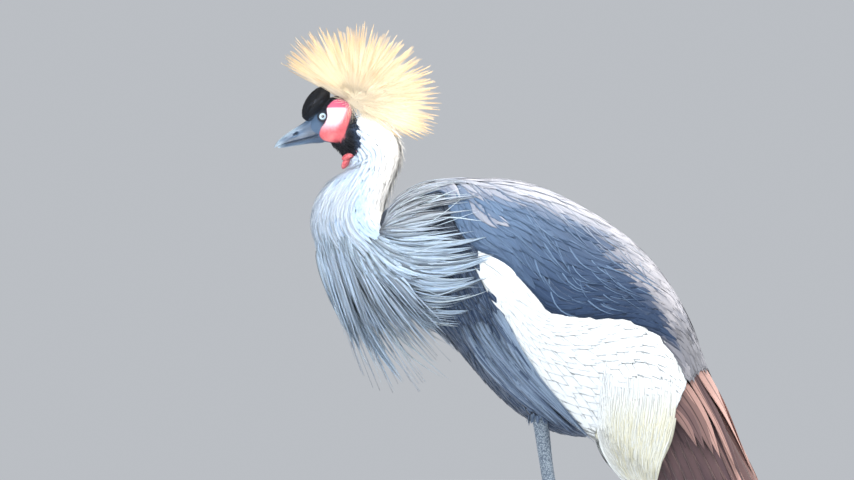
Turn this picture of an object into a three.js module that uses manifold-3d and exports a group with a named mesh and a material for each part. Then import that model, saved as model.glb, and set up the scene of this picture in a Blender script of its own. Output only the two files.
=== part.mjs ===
// Grey crowned crane: a still, life-size model that stands at rest with its neck drawn into an S.
// Millimetres, +Z up. The bird faces -X, its left side is -Y and its toes stand on Z = 0.
// Pieces are laid out in a working frame on the plane of symmetry, and the whole group is
// shifted at the end so that the origin is the middle of the bottom of the bird's box.
import * as THREE from 'three';
import { mergeVertices } from 'three/addons/utils/BufferGeometryUtils.js';
import Module from 'manifold-3d';

const wasm = await Module();
wasm.setup();

// Clearances between neighbouring pieces, and from each side piece to the plane of symmetry
const GAP = 0.35;
const MID_GAP = 0.15;

// Body frame: s runs down the sloping back from the breast to the tail, q runs up to the back
const BREAST = new THREE.Vector3(-180, 0, 604.5);
const BODY_SLOPE = THREE.MathUtils.degToRad(36);
const ALONG = new THREE.Vector3(Math.cos(BODY_SLOPE), 0, -Math.sin(BODY_SLOPE));
const UPWARD = new THREE.Vector3(Math.sin(BODY_SLOPE), 0, Math.cos(BODY_SLOPE));

// Flesh of the body: place s, reach above the axis, reach below it, half width
const TORSO = track([
  [-52, 20, -20, 12],
  [-44, 50, -50, 38],
  [-30, 88, -60, 54],
  [-5, 118, -64, 64],
  [50, 158, -63, 74],
  [105, 181, -58, 79],
  [168, 189, -66, 81],
  [228, 187, -82, 80],
  [291, 171, -92, 76],
  [350, 141, -84, 66],
  [405, 100, -58, 50],
  [450, 62, -28, 34],
  [488, 34, 0, 19],
]);
const TORSO_PLACES = [-52, -44, -32, -12, 18, 55, 105, 168, 228, 291, 350, 405, 450, 488];
const TORSO_AROUND = 18;

// Outer surface of the folded wings and coat: place s, reach above, reach below, half width
const COAT = track([
  [-44, 52, -52, 40],
  [-30, 90, -62, 56],
  [-5, 120, -66, 67],
  [50, 160, -66, 80],
  [60, 168, -66, 86],
  [105, 190, -70, 93],
  [168, 205, -78, 100],
  [228, 211, -92, 103],
  [296, 208, -100, 100],
  [364, 190, -98, 90],
  [428, 159, -92, 77],
  [479, 124, -88, 66],
  [540, 90, -88, 54],
  [600, 54, -86, 43],
  [640, 30, -80, 35],
  [680, 0, -70, 26],
]);

// Edges of the feather panels on the coat: place s, height q
const PANEL_LINE = track([
  [0, 100], [40, 78], [86, 62], [135, 70], [189, 59], [240, 52], [294, 80], [339, 107],
  [379, 116], [422, 108], [473, 71], [500, 20],
]);
const WHITE_LOWER = track([
  [86, 60], [109, 42], [175, 7], [256, -42], [311, -58], [406, -61], [450, -52], [490, -20], [500, 5],
]);

// Depth of the folded wing at place s: thick over the body, thin over the hanging quills
const WING_DEPTH = track([[0, 24], [330, 24], [420, 8], [520, 8]]);
const WING_EDGE_DROP = 4;
const PLATE_ROWS = spread(87, 498, 14);
const WHITE_PLATE = {
  places: PLATE_ROWS, columns: 5, proud: 0,
  upper: (s) => PANEL_LINE(s)[0],
  lower: (s) => WHITE_LOWER(s)[0],
};
const SLATE_PLATE = {
  places: [30, 58, ...PLATE_ROWS], columns: 6, proud: 3,
  upper: null,
  lower: (s) => PANEL_LINE(s)[0] + 1,
};

// Long inner quills, the flight quills under them, and the tail. A root line and a tip line
// give place s and height q, from the ridge down, and lift is the depth below the coat.
const SECONDARIES = {
  count: 7, width: 50, thick: 1, rings: 5, lift: -10.2, step: -1.7,
  roots: track([[0, 474, 110], [0.5, 462, 52], [1, 440, -24]]),
  tips: track([
    [0, 684, -6], [0.2, 674, -14], [0.42, 652, -35], [0.64, 622, -56], [0.84, 582, -72], [1, 540, -82],
  ]),
  block: { from: 418, to: 492, top: 118, bottom: -38, outer: -8.4, inner: -25 },
};
const PRIMARIES = {
  count: 4, width: 26, thick: 1, rings: 4, lift: -28, step: -1.7,
  roots: track([[0, 470, 26], [1, 458, -22]]),
  tips: track([[0, 640, -62], [0.5, 606, -82], [1, 560, -96]]),
  block: { from: 446, to: 484, top: 40, bottom: -36, outer: -24, inner: -34.5 },
};
const TAIL = {
  feathers: 7, width: 22, thick: 1, root: [488, 15], tip: [664, -14], rootHalf: 13, rootHigh: 9, fan: 4.4,
  rise: 1.9,
};

// Straw plumes that hang from the lower rear of the white panel
const PLUMES = { count: 5, width: 27, height: 4.2, top: [398, 92], bottom: [352, 14], drop: 165, lift: 3.2 };

// Feather locks on the front and side of the body. Each guide gives place s and height q at the
// root, half-way and tip, from the top of the shoulder down to the breast.
const SHOULDER_GUIDES = [
  [[-39, 33], [-28, 92], [11, 132]],
  [[-28, 22], [-4, 76], [50, 106]],
  [[-16, 12], [21, 60], [80, 89]],
  [[-10, -4], [44, 22], [106, 70]],
  [[-3, -21], [68, -17], [132, 53]],
  [[10, -34], [88, -30], [160, 36]],
  [[26, -46], [107, -45], [186, 20]],
];
const SHOULDER_LIFTS = [-8, 6.5, 8];
const SHOULDER_TIERS = [
  { from: 0.2, to: 5.8, count: 6, start: 0, end: 0.8, width: 23 },
  { from: 0.7, to: 5.9, count: 5, start: 0.3, end: 1, width: 23 },
];
const MANTLE_LOCKS = { count: 3, length: 70, width: 16, from: [-24, 84], to: [0, 118], heights: [10, 34] };
const FLANK_LOCKS = {
  count: 4, width: 22,
  roots: track([[0, 112, -22], [1, 140, -50]]),
  tips: track([[0, 378, -72, 4], [0.66, 330, -79, 6], [1, 272, -87, -15]]),
};

// Neck: front point and back point in the plane of symmetry, then half width
const NECK = track([
  [0, -291, 760.5, -262.5, 825, 18],
  [1, -276, 747.8, -244.5, 822, 23],
  [2, -265.5, 736.5, -222, 811.5, 26],
  [3, -258, 727.5, -198, 790.5, 28],
  [4, -255, 720, -181.5, 760.5, 29],
  [5, -268.5, 711, -178.5, 735, 31],
  [6, -286.5, 697.5, -189, 702, 35],
  [7, -303, 675, -199.5, 672, 40],
  [8, -311, 649.5, -204, 654, 44],
  [9, -310.5, 624, -202.5, 648, 50],
  [10, -298.5, 597, -199.5, 643.5, 56],
  [11, -273, 567, -192, 639, 62],
  [12, -247.5, 540, -180, 633, 66],
  [13, -202.5, 529.5, -162, 624, 68],
  [14, -150, 522, -142.5, 612, 64],
]);
const NECK_TOP = 0.3;
const NECK_SPLIT = 7;
const NECK_END = 14;
const NECK_AROUND = 14;

// Ruff of long plumes: station on the neck, how far back and how far down the tips reach from
// the front of the neck, first turn from the front and how many plumes each side
const RUFF = [
  { station: 7.4, back: 22, down: 118, turn: 17, count: 2 },
  { station: 8.4, back: 50, down: 160, turn: 0, count: 3 },
  { station: 9.4, back: 78, down: 214, turn: 17, count: 3 },
  { station: 10.5, back: 112, down: 205, turn: 0, count: 3 },
  { station: 11.6, back: 134, down: 150, turn: 17, count: 3 },
  { station: 12.6, back: 122, down: 100, turn: 0, count: 2 },
];
const RUFF_TURN_STEP = 34;
const RUFF_PLUME = { width: 27, height: 4, rings: 5 };

// Head frame: f runs forward towards the bill, g runs up to the crown
const HEAD_MIDDLE = new THREE.Vector3(-270, 0, 795);
const HEAD_PITCH = THREE.MathUtils.degToRad(23);
const HEAD_FORWARD = new THREE.Vector3(-Math.cos(HEAD_PITCH), 0, -Math.sin(HEAD_PITCH));
const HEAD_UP = new THREE.Vector3(-Math.sin(HEAD_PITCH), 0, Math.cos(HEAD_PITCH));

// Skull: place f, top, bottom, half width
const SKULL = track([
  [-41, 3, -20, 10],
  [-36, 15, -32, 18],
  [-26, 27, -40, 23],
  [-12, 31, -42, 23.5],
  [4, 33, -38, 22],
  [18, 30, -33, 19.5],
  [30, 24, -27, 16.5],
  [40, 16, -21, 13],
  [48, 9, -12, 9.5],
]);
const SKULL_PLACES = [-41, -36, -28, -16, -4, 8, 20, 30, 40, 48];
const SKULL_AROUND = 16;

// Velvet forehead cap, cheek lobes (upper, lower) and eye: middle f, g, y, half sizes, tilt
const CAP = { f: 24, g: 32, long: 28.5, wide: 17, high: 15, tilt: THREE.MathUtils.degToRad(-27) };
const CHEEKS = [
  { f: 2, g: 6, y: 15.5, long: 13, wide: 9, high: 17 },
  { f: 15, g: -17, y: 12.5, long: 14, wide: 8, high: 12.5 },
];
const EYE = { f: 22.2, g: 11.1, y: 11.5, radius: 7.5, socket: 8.3 };
const LID = { radius: 6.6, thick: 1.3, out: 16.3 };

// Bill: mouth line at place f, then the edge and half width of the upper and the lower half
const MOUTH = track([
  [34, -10.8], [44, -9.3], [56, -6.8], [68, -5.1], [80, -4.2], [92, -3.8], [102, -3.8], [110, -4.4],
]);
const BILL_TOP = track([
  [38, 15, 12], [44, 13, 10.5], [56, 10.2, 8.2], [68, 8, 6.6], [80, 7, 5.4], [92, 4.6, 4.2],
  [101, 1.5, 3], [107.5, -2.6, 1.2],
]);
const BILL_BOTTOM = track([
  [38, -22.5, 10.5], [40, -22, 9.5], [52, -16.5, 8], [64, -13.4, 6.3], [78, -11.2, 5],
  [92, -9.3, 3.7], [102, -5.9, 1.2],
]);
const BILL_TOP_PLACES = [38, 48, 58, 68, 78, 88, 96, 102, 107.5];
const BILL_BOTTOM_PLACES = [38, 48, 58, 70, 82, 94, 102];
const NOSTRIL = { f: 69.5, g: 3.4, long: 3.5, high: 1.3, wide: 12, tilt: THREE.MathUtils.degToRad(-8) };
const GAPE = { f: 41, y: 15, long: 6, wide: 6, high: 0.5, tilt: THREE.MathUtils.degToRad(12) };

// Wattle at the throat: middle x, y, z, and half sizes, of a lobe each side and the drop
const WATTLE_LOBE = { at: [-257, 12, 733], long: 13, wide: 12, high: 10.5 };
const WATTLE_DROP = { at: [-263, 0, 728], long: 6.5, wide: 9, high: 10.5 };
const WATTLE_TILT = THREE.MathUtils.degToRad(17);

// Crest: root inside the back of the crown, axis tilt, fan and bristles
const CREST_ROOT = new THREE.Vector3(-247.5, 0, 819);
const CREST = {
  tilt: THREE.MathUtils.degToRad(59), fan: THREE.MathUtils.degToRad(97), narrow: 0.86, pairs: 43,
  shortest: 112, longest: 131, start: 16, base: 1.7, tip: 0.3, jitter: 0.07,
};
const CREST_CORE = { out: 15, long: 31, wide: 29 };
const CREST_CLEAR_FROM = 40;

// Legs: distance from the middle, the right leg's step back, then height z, place x and half
// widths along and across, for the feathered thigh and for the bare shank
const LEG_SPREAD = 38;
const LEG_STAGGER = 4;
const THIGH_BOTTOM = 352;
const THIGH_TOP = 450;
const THIGH = track([
  [THIGH_BOTTOM, 27, 15, 13], [368, 21, 20, 17], [392, 12, 26, 20], [420, 2, 32, 24],
  [THIGH_TOP, -8, 34, 26],
]);
const SHANK = track([
  [26, 27, 8.6, 8], [40, 28.5, 7.2, 6.2], [70, 31, 6.6, 5.6], [110, 34, 6.5, 5.5], [150, 38, 6.7, 5.6],
  [186, 42, 7.2, 6.2], [202, 44.5, 9, 8.2], [216, 46.5, 12.4, 12], [234, 44.5, 10, 9.4],
  [270, 39, 9.2, 8.3], [300, 35, 10, 9], [330, 31, 10.8, 9.8], [352, 27, 11.5, 10.5],
]);
const ANKLE = 210;
const SHANK_BOTTOM = 26;
const SHANK_AROUND = 8;
const SCUTES = { from: 200, to: 34, count: 9, step: 0.8, lip: 0.6 };

// Feet: joint under the shank, then toes with turn from straight ahead, length and root width
const FOOT_X = 26;
const FOOT_HUB = { z: 12, long: 11, wide: 10, high: 13.6 };
const TOES = [
  { name: 'middle', turn: 3, length: 88, width: 8 },
  { name: 'inner', turn: -24, length: 68, width: 7 },
  { name: 'outer', turn: 34, length: 72, width: 7 },
  { name: 'hind', turn: 172, length: 36, width: 6.2 },
];
const CLAW_LENGTH = 15;

// Colours of the pieces
const COLOURS = {
  slate: 0x5d7086,
  paleGrey: 0xb9c6d2,
  white: 0xf1f2ee,
  straw: 0xe6dcae,
  gold: 0xe3c98d,
  chestnut: 0x7d4032,
  black: 0x17181c,
  red: 0xa92731,
  billGrey: 0x46505c,
  eye: 0xc9d8e2,
  legGrey: 0x5b6165,
};

// A smooth curve through rows of [place, value, value, ...]: cubic pieces, whose slope at each
// row is the mean of the slopes on its two sides
function track(rows) {
  const slope = (i, j, column) => (rows[j][column] - rows[i][column]) / (rows[j][0] - rows[i][0]);
  const last = rows.length - 1;
  return (place) => {
    const x = THREE.MathUtils.clamp(place, rows[0][0], rows[last][0]);
    let i = 0;
    while (i < last - 1 && x > rows[i + 1][0]) i += 1;
    const span = rows[i + 1][0] - rows[i][0];
    const t = (x - rows[i][0]) / span;
    return rows[i].slice(1).map((value, index) => {
      const column = index + 1;
      const here = slope(i, i + 1, column);
      const before = i > 0 ? (slope(i - 1, i, column) + here) / 2 : here;
      const after = i + 2 <= last ? (here + slope(i + 1, i + 2, column)) / 2 : here;
      const bend = t * t * (3 - 2 * t);
      return THREE.MathUtils.lerp(value, rows[i + 1][column], bend)
        + span * t * (1 - t) * ((1 - t) * before - t * after);
    });
  };
}

// Repeatable random numbers between 0 and 1
function randomFrom(seed) {
  let state = seed;
  return () => {
    state = (state + 0x6d2b79f5) | 0;
    let mixed = Math.imul(state ^ (state >>> 15), 1 | state);
    mixed = (mixed + Math.imul(mixed ^ (mixed >>> 7), 61 | mixed)) ^ mixed;
    return ((mixed ^ (mixed >>> 14)) >>> 0) / 4294967296;
  };
}

// Even places from start to end, both included
function spread(start, end, count) {
  return Array.from({ length: count }, (_, i) => start + ((end - start) * i) / Math.max(1, count - 1));
}

// A solid from points and triangles, turned outwards if need be
function solidOf(points, faces) {
  const vertProperties = new Float32Array(points.flatMap((p) => [p.x, p.y, p.z]));
  const build = (list) => new wasm.Manifold(
    new wasm.Mesh({ numProp: 3, vertProperties, triVerts: new Uint32Array(list.flat()) }),
  );
  const solid = build(faces);
  return solid.volume() > 0 ? solid : build(faces.map(([a, b, c]) => [a, c, b]));
}

// A solid from one of three.js's closed geometries, once its shared points are merged
function solidFromGeometry(geometry) {
  geometry.deleteAttribute('normal');
  geometry.deleteAttribute('uv');
  const merged = mergeVertices(geometry, 1e-4);
  const position = merged.attributes.position;
  const points = Array.from({ length: position.count }, (_, i) =>
    new THREE.Vector3().fromBufferAttribute(position, i));
  const index = Array.from(merged.index.array);
  return solidOf(points, spread(0, index.length - 3, index.length / 3).map((i) => index.slice(i, i + 3)));
}

// Rings of equal length skinned one after the other, with a fan over each end. The diagonals
// of the second half mirror those of the first, so a ring that starts on the ridge gives twins.
function loft(rings) {
  const count = rings[0].length;
  const faces = [];
  for (let r = 0; r + 1 < rings.length; r += 1) {
    for (let k = 0; k < count; k += 1) {
      const a = r * count + k;
      const b = r * count + ((k + 1) % count);
      if (k < count / 2) faces.push([a, b, b + count], [a, b + count, a + count]);
      else faces.push([a, b, a + count], [b, b + count, a + count]);
    }
  }
  const last = (rings.length - 1) * count;
  for (let k = 1; k + 1 < count; k += 1) {
    faces.push([0, k + 1, k], [last, last + k, last + k + 1]);
  }
  return solidOf(rings.flat(), faces);
}

// A ring of points worked out from the turn of each
function ringOf(count, pointAt) {
  return Array.from({ length: count }, (_, k) => pointAt((2 * Math.PI * k) / count));
}

// A sheet from two grids of points of one size, split into triangles alike on both faces
function sheet(outer, inner) {
  const rows = outer.length;
  const columns = outer[0].length;
  const under = rows * columns;
  const at = (r, c) => r * columns + c;
  const faces = [];
  for (let r = 0; r + 1 < rows; r += 1) {
    for (let c = 0; c + 1 < columns; c += 1) {
      const [a, b, d, e] = [at(r, c), at(r, c + 1), at(r + 1, c + 1), at(r + 1, c)];
      faces.push([a, b, d], [a, d, e]);
      faces.push([under + a, under + d, under + b], [under + a, under + e, under + d]);
    }
  }
  const rim = [];
  for (let c = 0; c + 1 < columns; c += 1) rim.push(at(0, c));
  for (let r = 0; r + 1 < rows; r += 1) rim.push(at(r, columns - 1));
  for (let c = columns - 1; c > 0; c -= 1) rim.push(at(rows - 1, c));
  for (let r = rows - 1; r > 0; r -= 1) rim.push(at(r, 0));
  rim.forEach((a, i) => {
    const b = rim[(i + 1) % rim.length];
    faces.push([b, a, under + a], [b, under + a, under + b]);
  });
  return solidOf([...outer.flat(), ...inner.flat()], faces);
}

// A ball stretched along three given directions
function ball(centre, along, across, upright, detail) {
  const geometry = new THREE.IcosahedronGeometry(1, detail);
  geometry.applyMatrix4(new THREE.Matrix4().makeBasis(along, across, upright).setPosition(centre));
  return solidFromGeometry(geometry);
}

// Cuts, joins and the mirror image, and the largest closed piece of a solid
const largest = (solid) => solid.decompose().reduce((best, piece) =>
  (piece.volume() > best.volume() ? piece : best));
const join = (...solids) => solids.flat().reduce((sum, solid) => sum.add(solid));
const cut = (solid, ...tools) => largest(tools.flat().reduce((rest, tool) => rest.subtract(tool), solid));
const mirrored = (solid) => solid.mirror([0, 1, 0]);
const bothSides = (solids) => [...solids, ...solids.map(mirrored)];
const offMiddle = (solid) => solid.trimByPlane([0, 1, 0], MID_GAP);

// A pointed lock or plume along a path, three-sided with a raised middle: outward(t) is the way
// its middle stands up, width and height are its largest, and grow adds a clearance all round
function lock({ path, outward, width, height, rings = 5, grow = 0 }) {
  return loft(spread(0, 1, rings).map((t) => {
    const belly = t < 0.35 ? 0.6 + 0.4 * Math.sin((Math.PI * t) / 0.7) : 1 - ((t - 0.35) / 0.65) ** 1.7;
    const half = 0.5 * Math.max(0.06, belly) * width + 3.5 * grow;
    const rise = Math.max(0.5, height * (1 - 0.8 * t));
    const up = outward(t);
    const across = path.getTangent(t).cross(up).normalize();
    const middle = path.getPoint(t).addScaledVector(path.getTangent(t), 4 * grow * (t - 0.5));
    const base = middle.clone().addScaledVector(up, -0.35 * rise - grow);
    return [
      base.clone().addScaledVector(across, -half),
      middle.addScaledVector(up, 0.65 * rise + grow),
      base.addScaledVector(across, half),
    ];
  }));
}

// Width of a flight feather at t along it, as a share of its widest, with a rounded end
const bladeAt = (t) => (t < 0.7
  ? 0.72 + 0.28 * Math.sin((Math.PI * t) / 1.4)
  : Math.sqrt(1 - ((t - 0.7) / 0.306) ** 2));

// A flight feather from rows of three points (edge, shaft, edge): at(t, side, lift) gives a point
// for side -1, 0 or 1, lifted off the middle of the feather's thickness
function vane({ at, thick, rings, grow = 0 }) {
  const face = (lift) => spread(0, 1, rings).map((t) => [-1, 0, 1].map((side) =>
    at(t, side, lift * (0.5 * thick * (1 - 0.45 * t) + grow))));
  return sheet(face(1), face(-1));
}

// Points of the working frame from the body frame and from the head frame
function inBody(s, q, y) {
  return BREAST.clone().addScaledVector(ALONG, s).addScaledVector(UPWARD, q).setY(y);
}

function inHead(f, g, y) {
  return HEAD_MIDDLE.clone().addScaledVector(HEAD_FORWARD, f).addScaledVector(HEAD_UP, g).setY(y);
}

// Point of an oval ring of the body: turn 0 is the ridge of the back, a quarter turn is the side
function bodyPoint(table, s, turn, grow = 0) {
  const [up, down, half] = table(s);
  const reach = (up - down) / 2 + grow;
  return inBody(s, (up + down) / 2 + reach * Math.cos(turn), (half + grow) * Math.sin(turn));
}

// Turn at which a body ring passes the height q
function turnAt(table, s, q) {
  const [up, down] = table(s);
  return Math.acos(THREE.MathUtils.clamp((2 * q - up - down) / (up - down), -1, 1));
}

// The coat's right side at place s and height q, lifted by grow, and its outward direction.
// Below the level hang, counted from -1 at the belly to 1 at the ridge, it drops straight down.
function coatAt(s, q, grow, hang = -0.96) {
  const [up, down, half] = COAT(s);
  const reach = (up - down) / 2 + grow;
  const level = THREE.MathUtils.clamp((q - (up + down) / 2) / reach, hang, 0.999);
  const side = Math.sqrt(1 - level * level);
  const outward = UPWARD.clone().multiplyScalar(level / reach).setY(side / (half + grow)).normalize();
  return { point: inBody(s, q, (half + grow) * side), outward };
}

// A path on the coat through keys of place s, height q and lift
function coatPath(keys, hang) {
  const flat = new THREE.CatmullRomCurve3(keys.map(([s, q, lift]) => new THREE.Vector3(s, q, lift)));
  const at = (t) => {
    const { x, y, z } = flat.getPoint(t);
    return coatAt(x, y, z, hang);
  };
  const path = new THREE.CatmullRomCurve3(spread(0, 1, 9).map((t) => at(t).point));
  return { path, outward: (t) => at(t).outward };
}

function torsoFlesh(grow = 0) {
  const last = TORSO_PLACES.length - 1;
  return loft(TORSO_PLACES.map((place, i) => {
    const s = place + (i === last ? grow : 0) - (i === 0 ? grow : 0);
    return ringOf(TORSO_AROUND, (turn) => bodyPoint(TORSO, s, turn, grow));
  }));
}

// A plate of folded wing on the right side, between two edges at heights q, or from the ridge.
// Its outer face rounds down at its edges, and its inner face lies a depth below the coat.
function wingPlate({ places, upper, lower, columns, proud }, grow = 0) {
  const last = places.length - 1;
  const outer = [];
  const inner = [];
  places.forEach((place, i) => {
    const s = place + (i === last ? grow : 0) - (i === 0 ? grow : 0);
    const u = i / last;
    const top = upper ? turnAt(COAT, s, upper(s) + grow) : 0;
    const turns = spread(top, turnAt(COAT, s, lower(s) - grow), columns);
    outer.push(turns.map((turn, c) => {
      const v = c / (columns - 1);
      const inset = Math.min(upper ? v : 1, 1 - v, u, 1 - u);
      const drop = WING_EDGE_DROP * Math.max(0, 1 - inset / 0.16) ** 2;
      return bodyPoint(COAT, s, turn, proud - drop + grow);
    }));
    inner.push(turns.map((turn) => bodyPoint(COAT, s, turn, -WING_DEPTH(s)[0] - grow)));
  });
  return sheet(outer, inner);
}

// Block in the wing that quills are rooted in, between two lifts under the coat
function rootBlock({ from, to, top, bottom, outer, inner }, grow = 0) {
  const grid = (lift) => spread(from - grow, to + grow, 3).map((s) =>
    spread(turnAt(COAT, s, top + grow), turnAt(COAT, s, bottom - grow), 5).map((turn) =>
      bodyPoint(COAT, s, turn, lift)));
  return sheet(grid(outer + grow), grid(inner - grow));
}

// Quills of the right wing, fanned from the root line to the tip line, each lower one deeper.
// Each is wrapped on the coat at one depth, so that it lies clear of the next.
function quills({ count, width, thick, rings, lift, step, roots, tips }, grow = 0) {
  return spread(0, 1, count).map((row, i) => {
    const [root, tip] = [roots(row), tips(row)];
    const [rootTurn, tipTurn] = [turnAt(COAT, ...root), turnAt(COAT, ...tip)];
    const at = (t, side, off) => {
      const s = THREE.MathUtils.lerp(root[0] - grow, tip[0] + grow, t);
      const turn = THREE.MathUtils.lerp(rootTurn, tipTurn, t) - 0.12 * Math.sin(Math.PI * t);
      const depth = lift + step * i + off;
      const [up, down, half] = COAT(s);
      const wide = Math.hypot(((up - down) / 2 + depth) * Math.sin(turn), (half + depth) * Math.cos(turn));
      return bodyPoint(COAT, s, turn + (side * (0.5 * width * bladeAt(t) + grow)) / wide, depth);
    };
    return vane({ at, thick, rings, grow });
  });
}

// Tail feathers, stacked from the middle one on top outwards to right and left in turn
function tailFeathers(grow = 0) {
  const feathers = Array.from({ length: TAIL.feathers }, (_, i) => {
    const fan = TAIL.fan * (i % 2 === 0 ? i : -i - 1);
    const at = (t, side, off) => inBody(
      THREE.MathUtils.lerp(TAIL.root[0] + 4 - grow, TAIL.tip[0] - 2 * i + grow, t),
      THREE.MathUtils.lerp(TAIL.root[1], TAIL.tip[1], t) - TAIL.rise * (i - 3) + off,
      THREE.MathUtils.lerp(0.3, 0.5, t) * fan + side * (0.5 * TAIL.width * bladeAt(t) + grow),
    );
    return vane({ at, thick: TAIL.thick, rings: 4, grow });
  });
  const block = loft([0, 34].map((back) => ringOf(8, (turn) => inBody(
    TAIL.root[0] + GAP - grow + back,
    TAIL.root[1] - 0.15 * back + (TAIL.rootHigh + grow) * Math.cos(turn),
    (TAIL.rootHalf + grow) * Math.sin(turn),
  ))));
  return join(block, feathers);
}

// Straw plumes: a low pad on the white panel, and plumes that hang from it
function strawPlumes() {
  const onPanel = (row, down) => [
    THREE.MathUtils.lerp(PLUMES.top[0], PLUMES.bottom[0], row) + down * Math.sin(BODY_SLOPE),
    THREE.MathUtils.lerp(PLUMES.top[1], PLUMES.bottom[1], row) - down * Math.cos(BODY_SLOPE),
  ];
  const grid = (lifts) => spread(-6, 46, 4).map((down, r) => spread(-0.06, 1.06, 5).map((row) => {
    const [s, q] = onPanel(row, down);
    return coatAt(s, q, lifts[r], -0.62).point;
  }));
  const pad = sheet(grid([0.8, 4, 5, 4]), grid([-3, -3, -3, -3]));
  const plumes = spread(0, 1, PLUMES.count).map((row, i) => {
    const length = PLUMES.drop * (0.86 + 0.14 * Math.sin(2.4 * i));
    const keys = spread(0, 1, 4).map((t) =>
      [...onPanel(row, 8 + length * t), PLUMES.lift + 2.5 * Math.sin(Math.PI * t)]);
    return lock({ ...coatPath(keys, -0.62), width: PLUMES.width, height: PLUMES.height });
  });
  return join(pad, plumes);
}

// Locks on the shoulder and breast side, blended between the guides, in two tiers
function shoulderLocks(grow = 0) {
  return SHOULDER_TIERS.flatMap((tier) => spread(tier.from, tier.to, tier.count).map((place) => {
    const i = Math.min(SHOULDER_GUIDES.length - 2, Math.floor(place));
    const blend = place - i;
    const guide = [0, 1, 2].map((k) => [0, 1].map((c) =>
      THREE.MathUtils.lerp(SHOULDER_GUIDES[i][k][c], SHOULDER_GUIDES[i + 1][k][c], blend)));
    const whole = new THREE.CatmullRomCurve3(guide.map(([s, q]) => new THREE.Vector3(s, q, 0)));
    const keys = spread(tier.start, tier.end, 3).map((t, k) => {
      const { x, y } = whole.getPoint(t);
      return [x, y, SHOULDER_LIFTS[k]];
    });
    return lock({ ...coatPath(keys), width: tier.width, height: 4.5, rings: 4, grow });
  }));
}

// Dark mantle locks beside the ridge above the shoulder
function mantleLocks(grow = 0) {
  return spread(0, 1, MANTLE_LOCKS.count).map((t) => {
    const [s, q] = [0, 1].map((c) => THREE.MathUtils.lerp(MANTLE_LOCKS.from[c], MANTLE_LOCKS.to[c], t));
    const drop = THREE.MathUtils.lerp(...MANTLE_LOCKS.heights, t);
    const keys = [[0, 0, -7], [0.48, 16, 6], [1, 44, 7]].map(([share, rise, lift]) =>
      [s + share * MANTLE_LOCKS.length, q + rise - drop, lift]);
    return lock({ ...coatPath(keys), width: MANTLE_LOCKS.width, height: 4.5, grow });
  });
}

// Long grey flank locks that run under the white panel, outside the thigh, with the tip's lift
function flankLocks(grow = 0) {
  return spread(0, 1, FLANK_LOCKS.count).map((t) => {
    const root = FLANK_LOCKS.roots(t);
    const tip = FLANK_LOCKS.tips(t);
    const between = (part) => [0, 1].map((c) => THREE.MathUtils.lerp(root[c], tip[c], part));
    const keys = [[...root, -22], [...between(0.4), -9], [...between(0.7), tip[2] - 1], tip];
    return lock({ ...coatPath(keys), width: FLANK_LOCKS.width, height: 5, grow });
  });
}

// Neck ring at a station counted from the head, and one point of it: turn 0 is the front
function neckPoint(station, turn, grow = 0) {
  const [frontX, frontZ, backX, backZ, half] = NECK(station);
  const middle = new THREE.Vector3((frontX + backX) / 2, 0, (frontZ + backZ) / 2);
  const reach = new THREE.Vector3(frontX, 0, frontZ).sub(middle);
  reach.setLength(reach.length() + grow);
  return middle.addScaledVector(reach, Math.cos(turn)).setY((half + grow) * Math.sin(turn));
}

function neckLength(from, to, count, grow = 0) {
  return loft(spread(from, to, count).map((station) =>
    ringOf(NECK_AROUND, (turn) => neckPoint(station, turn, grow))));
}

// Plumes of the ruff: each leaves the neck along its surface and hangs down and back
function ruffPlumes() {
  return RUFF.flatMap(({ station, back, down, turn, count }) => spread(0, count - 1, count).flatMap((i) => {
    const degrees = turn + RUFF_TURN_STEP * i;
    const angle = THREE.MathUtils.degToRad(degrees);
    const root = neckPoint(station, angle, -10);
    const leave = neckPoint(station + 0.6, angle, 12);
    const shorter = 1 - 0.0036 * degrees - 0.05 * Math.sin(3 * i + station);
    const outward = neckPoint(station, angle, 1).sub(neckPoint(station, angle, 0)).normalize();
    const tip = neckPoint(station, angle, 8).add(new THREE.Vector3(back, 0, -down).multiplyScalar(shorter));
    tip.y += 7 * Math.sin(angle);
    const nearTip = leave.clone().lerp(tip, 0.5).addScaledVector(outward, 5);
    const path = new THREE.CubicBezierCurve3(root, leave, nearTip, tip);
    const solid = lock({ path, outward: () => outward.clone(), ...RUFF_PLUME });
    return degrees === 0 ? [solid] : [solid, mirrored(solid)];
  }));
}

function skull(grow = 0) {
  const last = SKULL_PLACES.length - 1;
  return loft(SKULL_PLACES.map((place, i) => {
    const f = place + (i === last ? grow : 0) - (i === 0 ? grow : 0);
    const [top, bottom, half] = SKULL(f);
    const reach = (top - bottom) / 2 + grow;
    return ringOf(SKULL_AROUND, (turn) =>
      inHead(f, (top + bottom) / 2 + reach * Math.cos(turn), (half + grow) * Math.sin(turn)));
  }));
}

// A ball in the head frame, tipped by an angle in the plane of symmetry
function headBall({ f, g, y = 0, long, wide, high, tilt = 0 }, grow = 0, detail = 2) {
  const along = HEAD_FORWARD.clone().applyAxisAngle(new THREE.Vector3(0, 1, 0), tilt);
  const upright = HEAD_UP.clone().applyAxisAngle(new THREE.Vector3(0, 1, 0), tilt);
  return ball(inHead(f, g, y), along.multiplyScalar(long + grow), upright.multiplyScalar(high + grow),
    new THREE.Vector3(0, wide + grow, 0), detail);
}

// Head: skull, velvet cap, two cheek lobes a side, lids round the eyes, and the corner of the mouth
const cheekBalls = (grow) => CHEEKS.flatMap((cheek) => [1, -1].map((side) =>
  headBall({ ...cheek, y: side * cheek.y }, grow, 1)));
const headFlesh = (grow = 0) => join(skull(grow), headBall(CAP, grow), cheekBalls(grow));

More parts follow.
